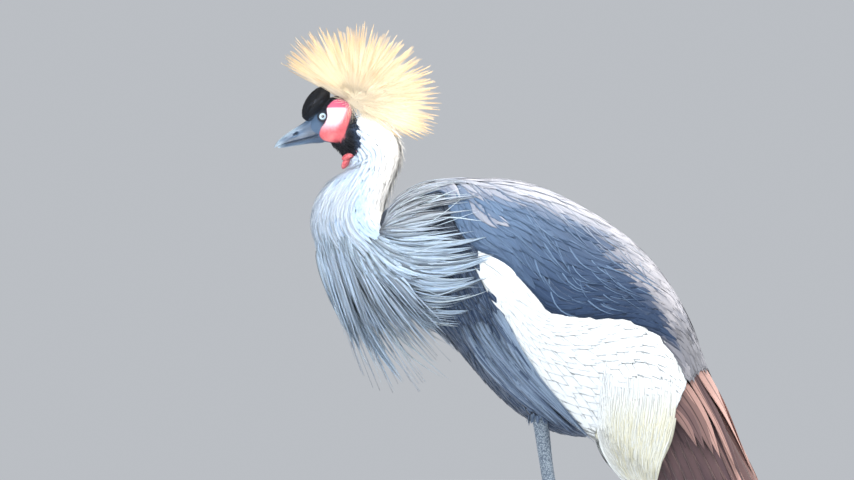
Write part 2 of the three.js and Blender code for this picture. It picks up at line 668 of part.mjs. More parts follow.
function lidRing(side) {
  const geometry = new THREE.TorusGeometry(LID.radius, LID.thick, 4, 11);
  const outward = new THREE.Vector3(0, side, 0);
  const along = new THREE.Vector3().crossVectors(HEAD_UP, outward);
  geometry.applyMatrix4(new THREE.Matrix4().makeBasis(along, HEAD_UP, outward)
    .setPosition(inHead(EYE.f, EYE.g, side * LID.out)));
  return solidFromGeometry(geometry);
}

function eyeBall(side, radius = EYE.radius, detail = 2) {
  const { f, g, y } = EYE;
  return headBall({ f, g, y: side * y, long: radius, wide: radius, high: radius }, 0, detail);
}

function headSolid() {
  const gape = [1, -1].map((side) => headBall({ ...GAPE, g: MOUTH(GAPE.f)[0], y: side * GAPE.y }, 0, 1));
  const sockets = [1, -1].map((side) => eyeBall(side, EYE.socket, 1));
  return cut(join(headFlesh(), lidRing(1), lidRing(-1)), sockets, gape);
}

// A half of the bill: its ring is arched on the outer side and flat along the mouth
function billHalf(outline, places, side) {
  const arch = 6;
  return loft(places.map((f) => {
    const [edge, half] = outline(f);
    const base = MOUTH(f)[0] + (side * GAP) / 2;
    return spread(0, Math.PI, arch + 1).map((turn) =>
      inHead(f, base + (edge - base) * Math.sin(turn), half * Math.cos(turn)));
  }));
}

function wattleSolid() {
  const [cos, sin] = [Math.cos(WATTLE_TILT), Math.sin(WATTLE_TILT)];
  const fold = ({ at: [x, y, z], long, wide, high }, side) => ball(
    new THREE.Vector3(x, side * y, z), new THREE.Vector3(long * cos, 0, long * sin),
    new THREE.Vector3(0, wide, 0), new THREE.Vector3(-high * sin, 0, high * cos), 1);
  return join(fold(WATTLE_LOBE, 1), fold(WATTLE_LOBE, -1), fold(WATTLE_DROP, 1));
}

// A three-sided bristle of the crest along a direction from its root
function bristle(direction, length, from) {
  const across = new THREE.Vector3(0, 1, 0).cross(direction).normalize();
  const over = direction.clone().cross(across);
  const stops = [[from, CREST.base], [length, CREST.tip]];
  return loft(stops.map(([out, size]) => ringOf(3, (turn) => CREST_ROOT.clone()
    .addScaledVector(direction, out)
    .addScaledVector(across, size * Math.cos(turn))
    .addScaledVector(over, size * Math.sin(turn)))));
}

// Crest: bristles spread evenly over a fan, in pairs a side, each tipped up towards the axis until
// it passes clear of the head and neck, on a low core
function crestSolid(clear) {
  const random = randomFrom(7);
  const axis = new THREE.Vector3(Math.cos(CREST.tilt), 0, Math.sin(CREST.tilt));
  const level = new THREE.Vector3(-axis.z, 0, axis.x);
  const goldenShare = (Math.sqrt(5) - 1) / 2;
  const bristles = Array.from({ length: CREST.pairs }, (_, i) => {
    const polar = Math.acos(1 - (1 - Math.cos(CREST.fan)) * ((i + 0.5) / CREST.pairs))
      + CREST.jitter * (random() - 0.5);
    const turn = Math.PI * ((goldenShare * (i + 0.5)) % 1) + CREST.jitter * (random() - 0.5);
    const length = THREE.MathUtils.lerp(CREST.shortest, CREST.longest, random());
    const direction = axis.clone().multiplyScalar(Math.cos(polar))
      .addScaledVector(level, Math.sin(polar) * Math.cos(turn))
      .setY(CREST.narrow * Math.sin(polar) * Math.sin(turn)).normalize();
    for (let tries = 0; tries < 12; tries += 1) {
      if (bristle(direction, length, CREST_CLEAR_FROM).intersect(clear).volume() === 0) break;
      direction.lerp(axis, 0.06).normalize();
    }
    return bristle(direction, length, CREST.start);
  });
  const core = ball(CREST_ROOT.clone().addScaledVector(axis, CREST_CORE.out),
    axis.clone().multiplyScalar(CREST_CORE.long), level.clone().multiplyScalar(CREST_CORE.wide),
    new THREE.Vector3(0, CREST_CORE.wide * 0.95, 0), 1);
  return cut(join(core, bothSides(bristles)), clear);
}

// Rings of a leg at the given heights; step pushes the front of a ring out
function legRings(table, heights, around, grow = 0) {
  return heights.map(([z, step]) => {
    const [x, long, wide] = table(z);
    return ringOf(around, (turn) => {
      const front = Math.cos(turn) < -0.3 ? step : 0;
      const across = LEG_SPREAD + (wide + grow + 0.6 * front) * Math.sin(turn);
      return new THREE.Vector3(x + (long + grow + front) * Math.cos(turn), across, z);
    });
  });
}

const thigh = (grow = 0) => loft(legRings(THIGH,
  [[THIGH_BOTTOM - grow, 0], [360, 0], [372, 0], [392, 0], [420, 0], [THIGH_TOP + grow, 0]], 14, grow));
const tibia = () => loft(legRings(SHANK,
  [ANKLE, 216, 224, 234, 248, 270, 300, 330, THIGH_BOTTOM - GAP].map((z) => [z, 0]), SHANK_AROUND));

// Long shank: broad scutes down the front, each ending in a small lip
function tarsus() {
  const pitch = (SCUTES.from - SCUTES.to) / SCUTES.count;
  const scutes = spread(0, SCUTES.count - 1, SCUTES.count).flatMap((i) => {
    const top = SCUTES.from - pitch * i;
    return [[top, 0], [top - pitch + SCUTES.lip, SCUTES.step]];
  });
  const heights = [[ANKLE - GAP, 0], ...scutes, [SCUTES.to, 0], [SHANK_BOTTOM, 0]];
  return loft(legRings(SHANK, heights, SHANK_AROUND));
}

function toeFrame(toe) {
  const turn = THREE.MathUtils.degToRad(toe.turn);
  const ahead = new THREE.Vector3(-Math.cos(turn), Math.sin(turn), 0);
  return { ahead, across: new THREE.Vector3(-ahead.y, ahead.x, 0) };
}

// A toe with a flat sole and a soft pad at every second ring
function toeSolid(toe) {
  const { ahead, across } = toeFrame(toe);
  const outline = [[-0.62, 0], [-1, 0.35], [-0.6, 0.86], [0, 1], [0.6, 0.86], [1, 0.35], [0.62, 0]];
  return loft(spread(0, 1, 6).map((t, i) => {
    const pad = i % 2 === 1 ? 1.08 : 0.94;
    const half = toe.width * (1 - 0.42 * t) * pad;
    const high = toe.width * (1.7 - t) * pad;
    const place = new THREE.Vector3(FOOT_X, LEG_SPREAD, 0).addScaledVector(ahead, 4 + (toe.length - 4) * t);
    return outline.map(([w, h]) => place.clone().addScaledVector(across, w * half).setZ(h * high));
  }));
}

function footSolid() {
  const hub = ball(new THREE.Vector3(FOOT_X, LEG_SPREAD, FOOT_HUB.z), new THREE.Vector3(FOOT_HUB.long, 0, 0),
    new THREE.Vector3(0, FOOT_HUB.wide, 0), new THREE.Vector3(0, 0, FOOT_HUB.high), 1);
  const whole = join(hub, TOES.map(toeSolid));
  return largest(whole.trimByPlane([0, 0, 1], 0).trimByPlane([0, 0, -1], GAP - SHANK_BOTTOM));
}

// A claw that curves down from the end of its toe and stops just clear of the floor
function claw(toe) {
  const { ahead, across } = toeFrame(toe);
  const root = toe.width * 0.5;
  return loft(spread(0, 1, 4).map((t) => {
    const size = root * (1 - 0.86 * t);
    const out = toe.length + GAP + CLAW_LENGTH * t;
    const middle = new THREE.Vector3(FOOT_X, LEG_SPREAD, 0).addScaledVector(ahead, out);
    middle.z = THREE.MathUtils.lerp(0.9 * root + 0.7, 0.6 + 0.14 * root, t * t);
    return ringOf(5, (turn) => middle.clone().addScaledVector(across, 0.8 * size * Math.cos(turn))
      .add(new THREE.Vector3(0, 0, 0.9 * size * Math.sin(turn))));
  }));
}

// The named solids, with a helper for a right piece and its mirror image
const solids = new Map();
const keep = (name, colour, solid) => solids.set(name, { solid, colour });
function keepPair(name, tail, colour, solid, stagger = 0) {
  keep(`${name}_right${tail}`, colour, solid.translate([stagger, 0, 0]));
  keep(`${name}_left${tail}`, colour, mirrored(solid));
}

// Head, neck and crest
const headClear = headFlesh(GAP);
const upperNeck = (grow) => neckLength(NECK_TOP, NECK_SPLIT, 9, grow);
keep('head', COLOURS.black, headSolid());
keep('bill_upper', COLOURS.billGrey,
  cut(billHalf(BILL_TOP, BILL_TOP_PLACES, 1), headClear, headBall(NOSTRIL, 0, 1)));
keep('bill_lower', COLOURS.billGrey, cut(billHalf(BILL_BOTTOM, BILL_BOTTOM_PLACES, -1), headClear));
keep('eye_right', COLOURS.eye, eyeBall(1));
keep('eye_left', COLOURS.eye, eyeBall(-1));
keep('wattle', COLOURS.red, cut(wattleSolid(), skull(GAP), upperNeck(GAP)));
keep('crest', COLOURS.gold, crestSolid(join(skull(GAP), headBall(CAP, GAP), upperNeck(GAP))));
keep('neck_upper', COLOURS.paleGrey, cut(upperNeck(0), skull(GAP), headBall(CAP, GAP), cheekBalls(GAP)));

// Body with its locks, the wing panels on it, and the ruff in front of it
const fleshClear = torsoFlesh(GAP);
const panelsClear = [wingPlate(SLATE_PLATE, GAP), wingPlate(WHITE_PLATE, GAP)];
const sideLocks = (grow) => [...shoulderLocks(grow), ...mantleLocks(grow), ...flankLocks(grow)];
const thighRight = cut(thigh(), fleshClear);
const bodyLocks = sideLocks(0).map((solid) => cut(offMiddle(solid), panelsClear, thigh(GAP)));
keep('torso', COLOURS.slate, largest(join(torsoFlesh(), bothSides(bodyLocks))));
keepPair('scapulars', '', COLOURS.slate, cut(offMiddle(wingPlate(SLATE_PLATE)), fleshClear));
keepPair('wing', '_coverts', COLOURS.white, cut(offMiddle(wingPlate(WHITE_PLATE)), fleshClear, thigh(GAP)));
const lowerNeck = join(neckLength(NECK_SPLIT + 0.012, NECK_END, 11), ruffPlumes());
keep('neck_lower', COLOURS.paleGrey, cut(lowerNeck, fleshClear, bothSides(sideLocks(GAP)), upperNeck(GAP)));

// Quills, tail and plumes
const secondaries = join(rootBlock(SECONDARIES.block), quills(SECONDARIES));
const primaries = join(rootBlock(PRIMARIES.block), quills(PRIMARIES));
const tail = tailFeathers();
keep('tail', COLOURS.black, cut(tail, fleshClear));
keepPair('wing', '_primaries', COLOURS.black, cut(offMiddle(primaries), fleshClear, tailFeathers(GAP)));
keepPair('wing', '_secondaries', COLOURS.chestnut,
  cut(offMiddle(secondaries), fleshClear, panelsClear, rootBlock(PRIMARIES.block, GAP)));
keepPair('wing', '_plumes', COLOURS.straw, cut(strawPlumes(), panelsClear));

// Legs
keepPair('thigh', '', COLOURS.slate, thighRight);
keepPair('tibia', '', COLOURS.legGrey, tibia(), LEG_STAGGER);
keepPair('tarsus', '', COLOURS.legGrey, tarsus(), LEG_STAGGER);
keepPair('foot', '', COLOURS.legGrey, footSolid(), LEG_STAGGER);
TOES.forEach((toe) => keepPair('claw', `_${toe.name}`, COLOURS.black, claw(toe), LEG_STAGGER));

// The group, shifted so that the origin is under the middle of the box
const bird = new THREE.Group();
for (const [name, { solid, colour }] of solids) {
  const { vertProperties, triVerts } = solid.getMesh();
  const geometry = new THREE.BufferGeometry();
  geometry.setAttribute('position', new THREE.BufferAttribute(vertProperties, 3));
  geometry.setIndex(new THREE.BufferAttribute(triVerts, 1));
  geometry.computeVertexNormals();
  const material = new THREE.MeshStandardMaterial({ color: colour, roughness: 0.75, metalness: 0 });
  const mesh = new THREE.Mesh(geometry, material);
  mesh.name = name;
  bird.add(mesh);
}
const box = new THREE.Box3().setFromObject(bird);
bird.position.set(-(box.min.x + box.max.x) / 2, 0, -box.min.z);
const part = new THREE.Group();
part.add(bird);

export default part;
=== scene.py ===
"""Looks of a grey crowned crane: skin, feathers, bill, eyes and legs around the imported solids.

Shapes are worked out in millimetres in a working frame on the bird's plane of symmetry: the bird
faces -X, its left side is -Y and its toes stand on Z = 0. They go into meshes in metres, moved
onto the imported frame.
"""

import bpy
import numpy as np
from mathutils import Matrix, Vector


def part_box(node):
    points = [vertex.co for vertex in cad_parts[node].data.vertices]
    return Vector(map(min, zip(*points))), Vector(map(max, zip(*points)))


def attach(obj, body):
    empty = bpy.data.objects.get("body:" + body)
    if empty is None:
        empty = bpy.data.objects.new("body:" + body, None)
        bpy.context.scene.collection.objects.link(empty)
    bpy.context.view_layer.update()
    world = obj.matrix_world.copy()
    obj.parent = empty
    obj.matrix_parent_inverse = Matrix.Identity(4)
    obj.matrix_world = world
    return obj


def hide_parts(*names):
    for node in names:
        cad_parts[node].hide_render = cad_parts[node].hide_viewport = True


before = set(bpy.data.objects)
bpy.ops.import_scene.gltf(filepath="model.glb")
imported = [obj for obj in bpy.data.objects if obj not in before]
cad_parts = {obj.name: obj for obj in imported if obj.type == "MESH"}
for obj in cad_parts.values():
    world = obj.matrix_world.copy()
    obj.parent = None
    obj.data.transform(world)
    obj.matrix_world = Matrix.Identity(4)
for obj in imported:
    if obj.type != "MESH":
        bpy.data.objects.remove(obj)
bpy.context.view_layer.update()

MM = 0.001
SIDES = {"right": 1, "left": -1}
SIDEWAYS = np.array([0.0, 1.0, 0.0])
GOLDEN_TURN = 2 * np.pi * (np.sqrt(5) - 1) / 2
ALL_ROUND = (-np.pi, np.pi)


def track(rows):
    """A smooth curve through rows of (place, value, value, ...), read at an array of places.

    Between two rows the curve is a cubic whose slope at each row is the mean of the slopes on
    its two sides. The values come back as one array for each column.
    """
    rows = np.array(rows, float)
    place, values = rows[:, 0], rows[:, 1:]
    steps = np.diff(place)
    slopes = np.diff(values, axis=0) / steps[:, None]
    middle = (slopes[:-1] + slopes[1:]) / 2
    before = np.vstack([slopes[:1], middle])
    after = np.vstack([middle, slopes[-1:]])

    def at(x):
        x = np.clip(np.asarray(x, float), place[0], place[-1])
        i = np.clip(np.searchsorted(place, x) - 1, 0, len(steps) - 1)
        t = ((x - place[i]) / steps[i])[..., None]
        bend = t * t * (3 - 2 * t)
        swing = steps[i][..., None] * t * (1 - t) * ((1 - t) * before[i] - t * after[i])
        return np.moveaxis(values[i] * (1 - bend) + values[i + 1] * bend + swing, -1, 0)

    return at


# Body frame: s runs down the sloping back from the breast to the tail, q runs up to the back
BREAST = np.array([-180.0, 0.0, 604.5])
BODY_SLOPE = np.radians(36)
ALONG = np.array([np.cos(BODY_SLOPE), 0.0, -np.sin(BODY_SLOPE)])
UPWARD = np.array([np.sin(BODY_SLOPE), 0.0, np.cos(BODY_SLOPE)])

# Outer surface of the folded wings and coat, the coat of the belly and the skin below them: place s,
# reach above, reach below, half width
COAT_ROWS = [
    [-44, 52, -52, 40], [-30, 90, -62, 56], [-5, 120, -66, 67], [50, 160, -66, 80], [60, 168, -66, 86],
    [105, 190, -70, 93], [168, 205, -78, 100], [228, 211, -92, 103], [296, 208, -100, 100],
    [364, 190, -98, 90], [428, 159, -92, 77], [479, 124, -88, 66], [540, 90, -88, 54],
    [600, 54, -86, 43], [640, 30, -80, 35], [680, 0, -70, 26],
]
COAT = track(COAT_ROWS)
BELLY = track(COAT_ROWS[:8] + [
    [296, 208, -99, 100], [364, 190, -86, 87], [405, 170, -62, 76], [440, 140, -40, 64],
    [480, 100, -12, 46],
])
SKIN = track([
    [-52, 16, -18, 10], [-44, 46, -46, 34], [-30, 82, -56, 50], [-5, 112, -60, 60], [50, 152, -60, 72],
    [105, 183, -63, 86], [168, 198, -71, 93], [228, 204, -85, 96], [296, 201, -92, 93],
    [364, 182, -80, 80], [405, 155, -56, 68], [440, 126, -34, 56], [470, 92, -12, 42], [495, 58, 6, 25],
    [508, 36, 16, 10],
])
SKIN_SPAN = (-52, 508)

# Upper and lower edge of the white panel on the coat: place s, height q
PANEL_LINE = track([
    [-30, 60], [0, 100], [40, 78], [86, 62], [135, 70], [189, 59], [240, 52], [294, 80], [339, 107],
    [379, 116], [422, 108], [473, 71], [500, 20],
])
WHITE_LOWER = track([
    [-30, -34], [0, -30], [86, 58], [109, 42], [175, 7], [256, -42], [311, -58], [406, -61], [450, -52],
    [490, -20], [500, 5],
])

# Furthest place s that the tips of the white and of the slate feathers reach, from the top (0) to the
# bottom (1) of their panel
WHITE_END = track([[0, 468], [0.15, 472], [0.35, 477], [0.6, 482], [0.8, 482], [1, 462]])
SLATE_END = track([[0, 508], [0.4, 492], [0.7, 484], [1, 474]])

# Neck: front point and back point in the plane of symmetry, then half width
NECK = track([
    [0, -291, 760.5, -262.5, 825, 18], [1, -276, 747.8, -244.5, 822, 23],
    [2, -265.5, 736.5, -222, 811.5, 26], [3, -258, 727.5, -198, 790.5, 28],
    [4, -255, 720, -181.5, 760.5, 29], [5, -268.5, 711, -178.5, 735, 31],
    [6, -286.5, 697.5, -189, 702, 35], [7, -303, 675, -199.5, 672, 40],
    [8, -311, 649.5, -204, 654, 44], [9, -310.5, 624, -202.5, 648, 50],
    [10, -298.5, 597, -199.5, 643.5, 56], [11, -273, 567, -192, 639, 62],
    [12, -247.5, 540, -180, 633, 66], [13, -202.5, 529.5, -162, 624, 68],
    [14, -150, 522, -142.5, 612, 64],
])
NECK_SPAN = (0.3, 14)
NECK_COAT = 4.0

# Head frame: f runs forward towards the bill, g runs up to the crown
HEAD_MIDDLE = np.array([-270.0, 0.0, 795.0])
HEAD_PITCH = np.radians(23)
HEAD_FORWARD = np.array([-np.cos(HEAD_PITCH), 0.0, -np.sin(HEAD_PITCH)])
HEAD_UP = np.array([-np.sin(HEAD_PITCH), 0.0, np.cos(HEAD_PITCH)])
SKULL = track([
    [-41, 3, -20, 10], [-36, 15, -32, 18], [-26, 27, -40, 23], [-12, 31, -42, 23.5], [4, 33, -38, 22],
    [18, 30, -33, 19.5], [30, 24, -27, 16.2], [40, 15, -21, 12.2], [50, 6, -15, 7.5], [58, 0, -11, 3],
])
SKULL_SPAN = (-41, 58)
CAP = {"f": 24.5, "g": 33, "size": (29, 17, 15.5), "tilt": np.radians(-34)}

# Outline of the bare cheek: places f and heights g, clockwise from the corner above the eye
CHEEK_EDGE = np.array([
    [11.6, 20.0], [2.9, 25.7], [-7.1, 27.2], [-16.9, 21.0], [-22.4, 11.8], [-21.6, 2.8], [-15.4, -7.1],
    [-8.1, -15.4], [-1.2, -22.9], [4.8, -30.1], [12.4, -33.5], [21.9, -31.1], [31.5, -25.4],
    [36.9, -18.5], [37.3, -11.3], [31.1, -3.9], [22.8, 0.9], [15.6, 8.2],
])
CHEEK_LOBE = {"f": 17, "g": -18.5, "y": 11, "size": (15.5, 8, 13.5)}
EYE = {"f": 22.2, "g": 11.1, "y": 11.5, "radius": 7.4, "iris": 5.5, "pupil": 2.3}
LID = {"radius": 6.5, "thick": 1.25, "out": 16.5, "long": 1.05, "high": 0.94}

# Bill: mouth line at place f, then the edge and half width of the upper and the lower half
MOUTH = track([
    [34, -12.6], [44, -11.6], [56, -9.8], [68, -7.6], [80, -5.4], [92, -3.6], [102, -3.0], [110, -3.6],
])
MOUTH_GAP = 0.35
LORE_TOP = track([[0, 20], [28, 20], [40, 17.5], [50, 14]])
BILL_TOP = track([
    [38, 17.5, 12], [44, 16.6, 11], [56, 14.2, 8.8], [68, 12, 7.2], [80, 9.8, 6], [92, 6.9, 4.8],
    [101, 3.2, 3.4], [107.5, -2.0, 1.3],
])
BILL_BOTTOM = track([
    [38, -24.5, 10.8], [44, -22.6, 9.4], [52, -19.4, 8.2], [64, -16.0, 6.6], [78, -12.4, 5.2],
    [92, -9.0, 3.9], [102, -5.8, 1.4],
])
NOSTRIL = {"f": 69.5, "g": 3.4, "long": 4.2, "high": 1.9, "tilt": np.radians(-8), "deep": 3.0}

# Wattle at the throat: a low and a high lobe on each side, with middle, half sizes and tilt in degrees
WATTLE_LOBES = [
    ((x, side * y, z), sizes, tilt)
    for x, y, z, sizes, tilt in ((-260, 5.5, 728.5, (11, 7, 5.0), 58), (-254, 11, 738.5, (13.5, 8, 5.0), 24))
    for side in SIDES.values()
]
WATTLE_TOP = {"x": -267.4, "z": 738, "slope": 0.33}

# Crest: root inside the back of the crown, tilt of the axis, half angle of the fan, spikes and the
# bristles of each, reach at each angle seen from the side, counted in degrees from straight back, the
# angles where the fan ends, and the ball of down round the root
CREST_ROOT = np.array([-247.5, 0.0, 819.0])
CREST_TILT = np.radians(59)
CREST_FAN = np.radians(97)
CREST = {
    "spikes": 340, "bristles": 16, "narrow": 0.64, "thick": 0.4, "cone": 5.6, "clear": 5.0, "tip_up": 0.06,
    "loose": 160, "loose_thick": 0.22,
}
CREST_REACH = track([
    [-60, 112], [-37, 117], [-27, 126], [-10, 131], [15, 130], [45, 121], [66, 118], [82, 120], [100, 115],
    [126, 128], [155, 132], [180, 126],
])
CREST_ENDS = (-42, 155)
CREST_CORE = {
    "out": 22, "back": 16, "size": np.array([34, 42, 50]), "tilt": np.radians(67), "bristles": 3600,
    "thick": 0.4,
}

# Legs: distance from the middle, the right leg's step back, then height z, place x and half widths
# along and across, for the feathered thigh and for the bare leg, and the scutes down its front
LEG_SPREAD = 38
LEG_STEP = {1: 4, -1: 0}
THIGH_TOP = 450
THIGH = track([
    [352, 27, 15, 13], [368, 21, 20, 17], [392, 12, 26, 20], [420, 2, 32, 24], [THIGH_TOP, -8, 34, 26],
])
SHANK = track([
    [26, 27, 8.6, 8], [40, 28.5, 7.2, 6.2], [70, 31, 6.6, 5.6], [110, 34, 6.5, 5.5], [150, 38, 6.7, 5.6],
    [186, 42, 7.2, 6.2], [202, 44.5, 9, 8.2], [216, 46.5, 12.4, 12], [234, 44.5, 10, 9.4],
    [270, 39, 9.2, 8.3], [300, 35, 10, 9], [330, 31, 10.8, 9.8], [352, 27, 11.5, 10.5],
])
SCUTES = {"top": 200, "pitch": 9.0, "lip": 0.7}

# Feet: place of the shank's middle, the hub under it, then turn, length, width and number of joints of
# each toe, and length of the claws
FOOT_X = 26
FOOT_HUB = {"z": 12, "size": (11, 10, 12)}
TOES = {
    "middle": {"turn": 3, "length": 88, "width": 8.0, "joints": 4},
    "inner": {"turn": -24, "length": 68, "width": 7.0, "joints": 3},
    "outer": {"turn": 34, "length": 72, "width": 7.0, "joints": 5},
    "hind": {"turn": 172, "length": 36, "width": 6.2, "joints": 2},
}
CLAW_LENGTH = 15

# Colours as red, green and blue of a screen, 0 to 255
COLOURS = {
    "slate": (38, 62, 96), "slate_pale": (140, 170, 204), "slate_dark": (20, 32, 50),
    # Pink-grey of painted sunlight on the back and shoulder.
    "sunlit_pink": (206, 202, 206), "grey": (140, 140, 146),
    "pale": (176, 202, 232), "pale_white": (255, 252, 246), "pale_dark": (150, 170, 194),
    "plume": (184, 208, 234), "plume_tip": (222, 232, 228), "plume_dark": (12, 20, 36),
    "white": (246, 252, 254), "cream": (242, 240, 218),
    "straw": (240, 237, 208), "straw_dark": (214, 206, 168),
    # The quills' chestnut in shade, and the same colour in painted sunlight.
    "chestnut": (88, 68, 72), "sunlit_chestnut": (212, 168, 156), "maroon": (40, 26, 30),
    "black": (9, 10, 13), "blue_black": (20, 34, 54), "quill_black": (22, 24, 30),
    # The throat's blue is a painted sheen on the black.
    "throat_sheen_blue": (62, 82, 112),
    # The pale gold is painted light where the sun shines through the crest.
    "gold": (211, 181, 134), "sunlit_gold": (221, 210, 187), "gold_dark": (150, 112, 72),
    "red": (198, 78, 90), "pink": (228, 128, 128), "crimson": (200, 92, 124),
    "cheek_white": (212, 218, 230),
    # The pale bill colour is a painted highlight.
    "bill": (92, 118, 148), "bill_dark": (38, 54, 74), "bill_highlight": (178, 198, 212),
    "iris": (188, 210, 224), "leg": (176, 190, 202), "leg_dark": (104, 118, 134), "claw": (30, 30, 32),
    "floor": (212, 214, 218),
}


def smooth(low, high, x):
    """0 below low, 1 above high, and the smooth step t t (3 - 2 t) between them."""
    t = np.clip((np.asarray(x, float) - low) / (high - low), 0, 1)
    return t * t * (3 - 2 * t)


def blend(a, b, t):
    """a where t is 0 and b where t is 1, in a straight line between."""
    return a + (b - a) * t


def unit(v):
    """Vectors of length 1."""
    return v / np.maximum(np.linalg.norm(v, axis=-1, keepdims=True), 1e-9)


def swung(a, b, tilt):
    """Places a and b turned by a tilt in their plane: a cos - b sin and a sin + b cos."""
    cos, sin = np.cos(tilt), np.sin(tilt)
    return a * cos - b * sin, a * sin + b * cos


def full_turn(count):
    """Evenly spaced angles of a full turn."""
    return np.linspace(0, 2 * np.pi, count, endpoint=False)


def in_frame(origin, first, second, a, b, c, third=SIDEWAYS):
    """Points origin + a first + b second + c third."""
    a, b, c = np.broadcast_arrays(a, b, c)
    return origin + a[..., None] * first + b[..., None] * second + c[..., None] * third


def in_body(s, q, y):
    """Points of the body frame."""
    return in_frame(BREAST, ALONG, UPWARD, s, q, y)


def in_head(f, g, y):
    """Points of the head frame."""
    return in_frame(HEAD_MIDDLE, HEAD_FORWARD, HEAD_UP, f, g, y)


def head_places(points):
    """Place f and height g in the head frame of points of the working frame."""
    away = points - HEAD_MIDDLE
    return away @ HEAD_FORWARD, away @ HEAD_UP


def oval(table, place, s, turn):
    """Ring at s of a table (reach above, reach below, half width): c + h cos turn along the height and
    half sin turn across, with c and h the middle and half of the two reaches."""
    up, down, half = table(s)
    return place(s, (up + down) / 2 + (up - down) / 2 * np.cos(turn), half * np.sin(turn))


def coat_surface(s, turn):
    """Outer surface of the coat: turn 0 is the ridge of the back, a quarter turn the right side."""
    return oval(COAT, in_body, s, turn)


def turn_at(table, s, q):
    """Turn at which a ring passes the height q."""
    up, down, _ = table(s)
    return np.arccos(np.clip((2 * q - up - down) / (up - down), -1, 1))


def slate_surface(s, v):
    """Coat from the ridge (v = 0) to the upper edge of the white panel (v = 1)."""
    return coat_surface(s, v * turn_at(COAT, s, PANEL_LINE(s)[0]))


def white_surface(s, v):
    """Coat from the upper edge (v = 0) to the lower edge (v = 1) of the white panel."""
    return coat_surface(s, blend(turn_at(COAT, s, PANEL_LINE(s)[0]), turn_at(COAT, s, WHITE_LOWER(s)[0]), v))


def belly_surface(s, v):
    """Coat of the belly from the lower edge of the white panel (v = 0) to the middle line (v = 1)."""
    return oval(BELLY, in_body, s, blend(turn_at(BELLY, s, WHITE_LOWER(s)[0]), np.pi, v))


def neck_surface(station, turn, lift=0.0):
    """Ring of the neck at a station counted from the head; turn 0 is its front, half a turn its back."""
    front_x, front_z, back_x, back_z, half = NECK(station)
    x, z = (front_x + back_x) / 2, (front_z + back_z) / 2
    reach = np.hypot(front_x - back_x, front_z - back_z) / 2
    share = (reach + lift) / reach * np.cos(turn) / 2
    y = (half + lift) * np.sin(turn)
    x, z, y = np.broadcast_arrays(x + (front_x - back_x) * share, z + (front_z - back_z) * share, y)
    return np.stack([x, y, z], -1)


def skull_surface(f, turn):
    """Ring of the skull at place f; turn 0 is the crown."""
    return oval(SKULL, in_head, f, turn)


BALL_SPAN = (0.02, np.pi - 0.02)


def ball(sizes, a, turn):
    """Places along, across and up on an ellipsoid of three half sizes: a runs from 0 at its front end
    to half a turn at its back end, and turn runs round its long axis from its top."""
    long, wide, high = sizes
    return long * np.cos(a), wide * np.sin(a) * np.sin(turn), high * np.sin(a) * np.cos(turn)


def cap_surface(a, turn):
    """Forehead cap, an ellipsoid tipped in the plane of symmetry."""
    along, across, up = ball(CAP["size"], a, turn)
    f, g = swung(along, up, CAP["tilt"])
    return in_head(CAP["f"] + f, CAP["g"] + g, across)


def thigh_surface(down, turn):
    """Feathered thigh: down counts from its top, and turn 0 is its back."""
    z = THIGH_TOP - down
    x, long, wide = THIGH(z)
    x, y, z = np.broadcast_arrays(x + long * np.cos(turn), LEG_SPREAD + wide * np.sin(turn), z)
    return np.stack([x, y, z], -1)


def oval_outward(cos, sin, reach, half):
    """Outward direction of an oval with half sizes reach, upwards, and half, across: cos / reach upwards
    and sin / half across, with cos and sin of the turn from its top."""
    return unit(UPWARD * (cos / reach)[..., None] + SIDEWAYS * (sin / half)[..., None])


def coat_at(s, q, lift, hang=-0.96):
    """Point and outward direction of the coat's right side at height q, lifted. Below the level hang,
    counted from -1 at the belly to 1 at the ridge, the surface drops straight down."""
    up, down, half = COAT(s)
    reach = (up - down) / 2 + lift
    level = np.clip((q - (up + down) / 2) / reach, hang, 0.999)
    side = np.sqrt(1 - level * level)
    return in_body(s, q, (half + lift) * side), oval_outward(level, side, reach, half + lift)


def frame_at(surface, a, b):
    """Point of a surface, the direction square to it and the size of a step in a and in b, all from
    small differences. The direction is that of growing a crossed with growing b."""
    small = 1e-3
    point = surface(a, b)
    step_a = (surface(a + small, b) - surface(a - small, b)) / (2 * small)
    step_b = (surface(a, b + small) - surface(a, b - small)) / (2 * small)
    out = unit(np.cross(step_a, step_b))
    return point, out, np.linalg.norm(step_a, axis=-1), np.linalg.norm(step_b, axis=-1)


WIDTH_GRID = {"low_x": -340, "low_z": 330, "step": 2.0, "across": 340, "up": 260, "passes": 6, "steep": 2.5}


def width_map():
    """Half width of neck and coat seen from the side, and its slopes in X and Z: the most that their
    surfaces reach across at each place of a grid, evened out by repeated averaging."""
    grid = WIDTH_GRID
    most = np.zeros((grid["across"], grid["up"]))
    for surface, span in ((coat_surface, (-44, 560)), (neck_surface, NECK_SPAN), (skull_surface, (-40, 30))):
        points = surface(np.linspace(*span, 1500)[:, None], np.linspace(0, np.pi, 900))
        i = np.clip((points[..., 0] - grid["low_x"]) / grid["step"], 0, grid["across"] - 1).astype(int)
        k = np.clip((points[..., 2] - grid["low_z"]) / grid["step"], 0, grid["up"] - 1).astype(int)
        np.maximum.at(most, (i, k), np.abs(points[..., 1]))
    for _ in range(grid["passes"]):
        most = (most + np.roll(most, 1, 0) + np.roll(most, -1, 0) + np.roll(most, 1, 1)
                + np.roll(most, -1, 1)) / 5
    slope_x, slope_z = np.gradient(most, grid["step"])
    return np.stack([most, slope_x, slope_z], -1)


WIDTH_MAP = width_map()


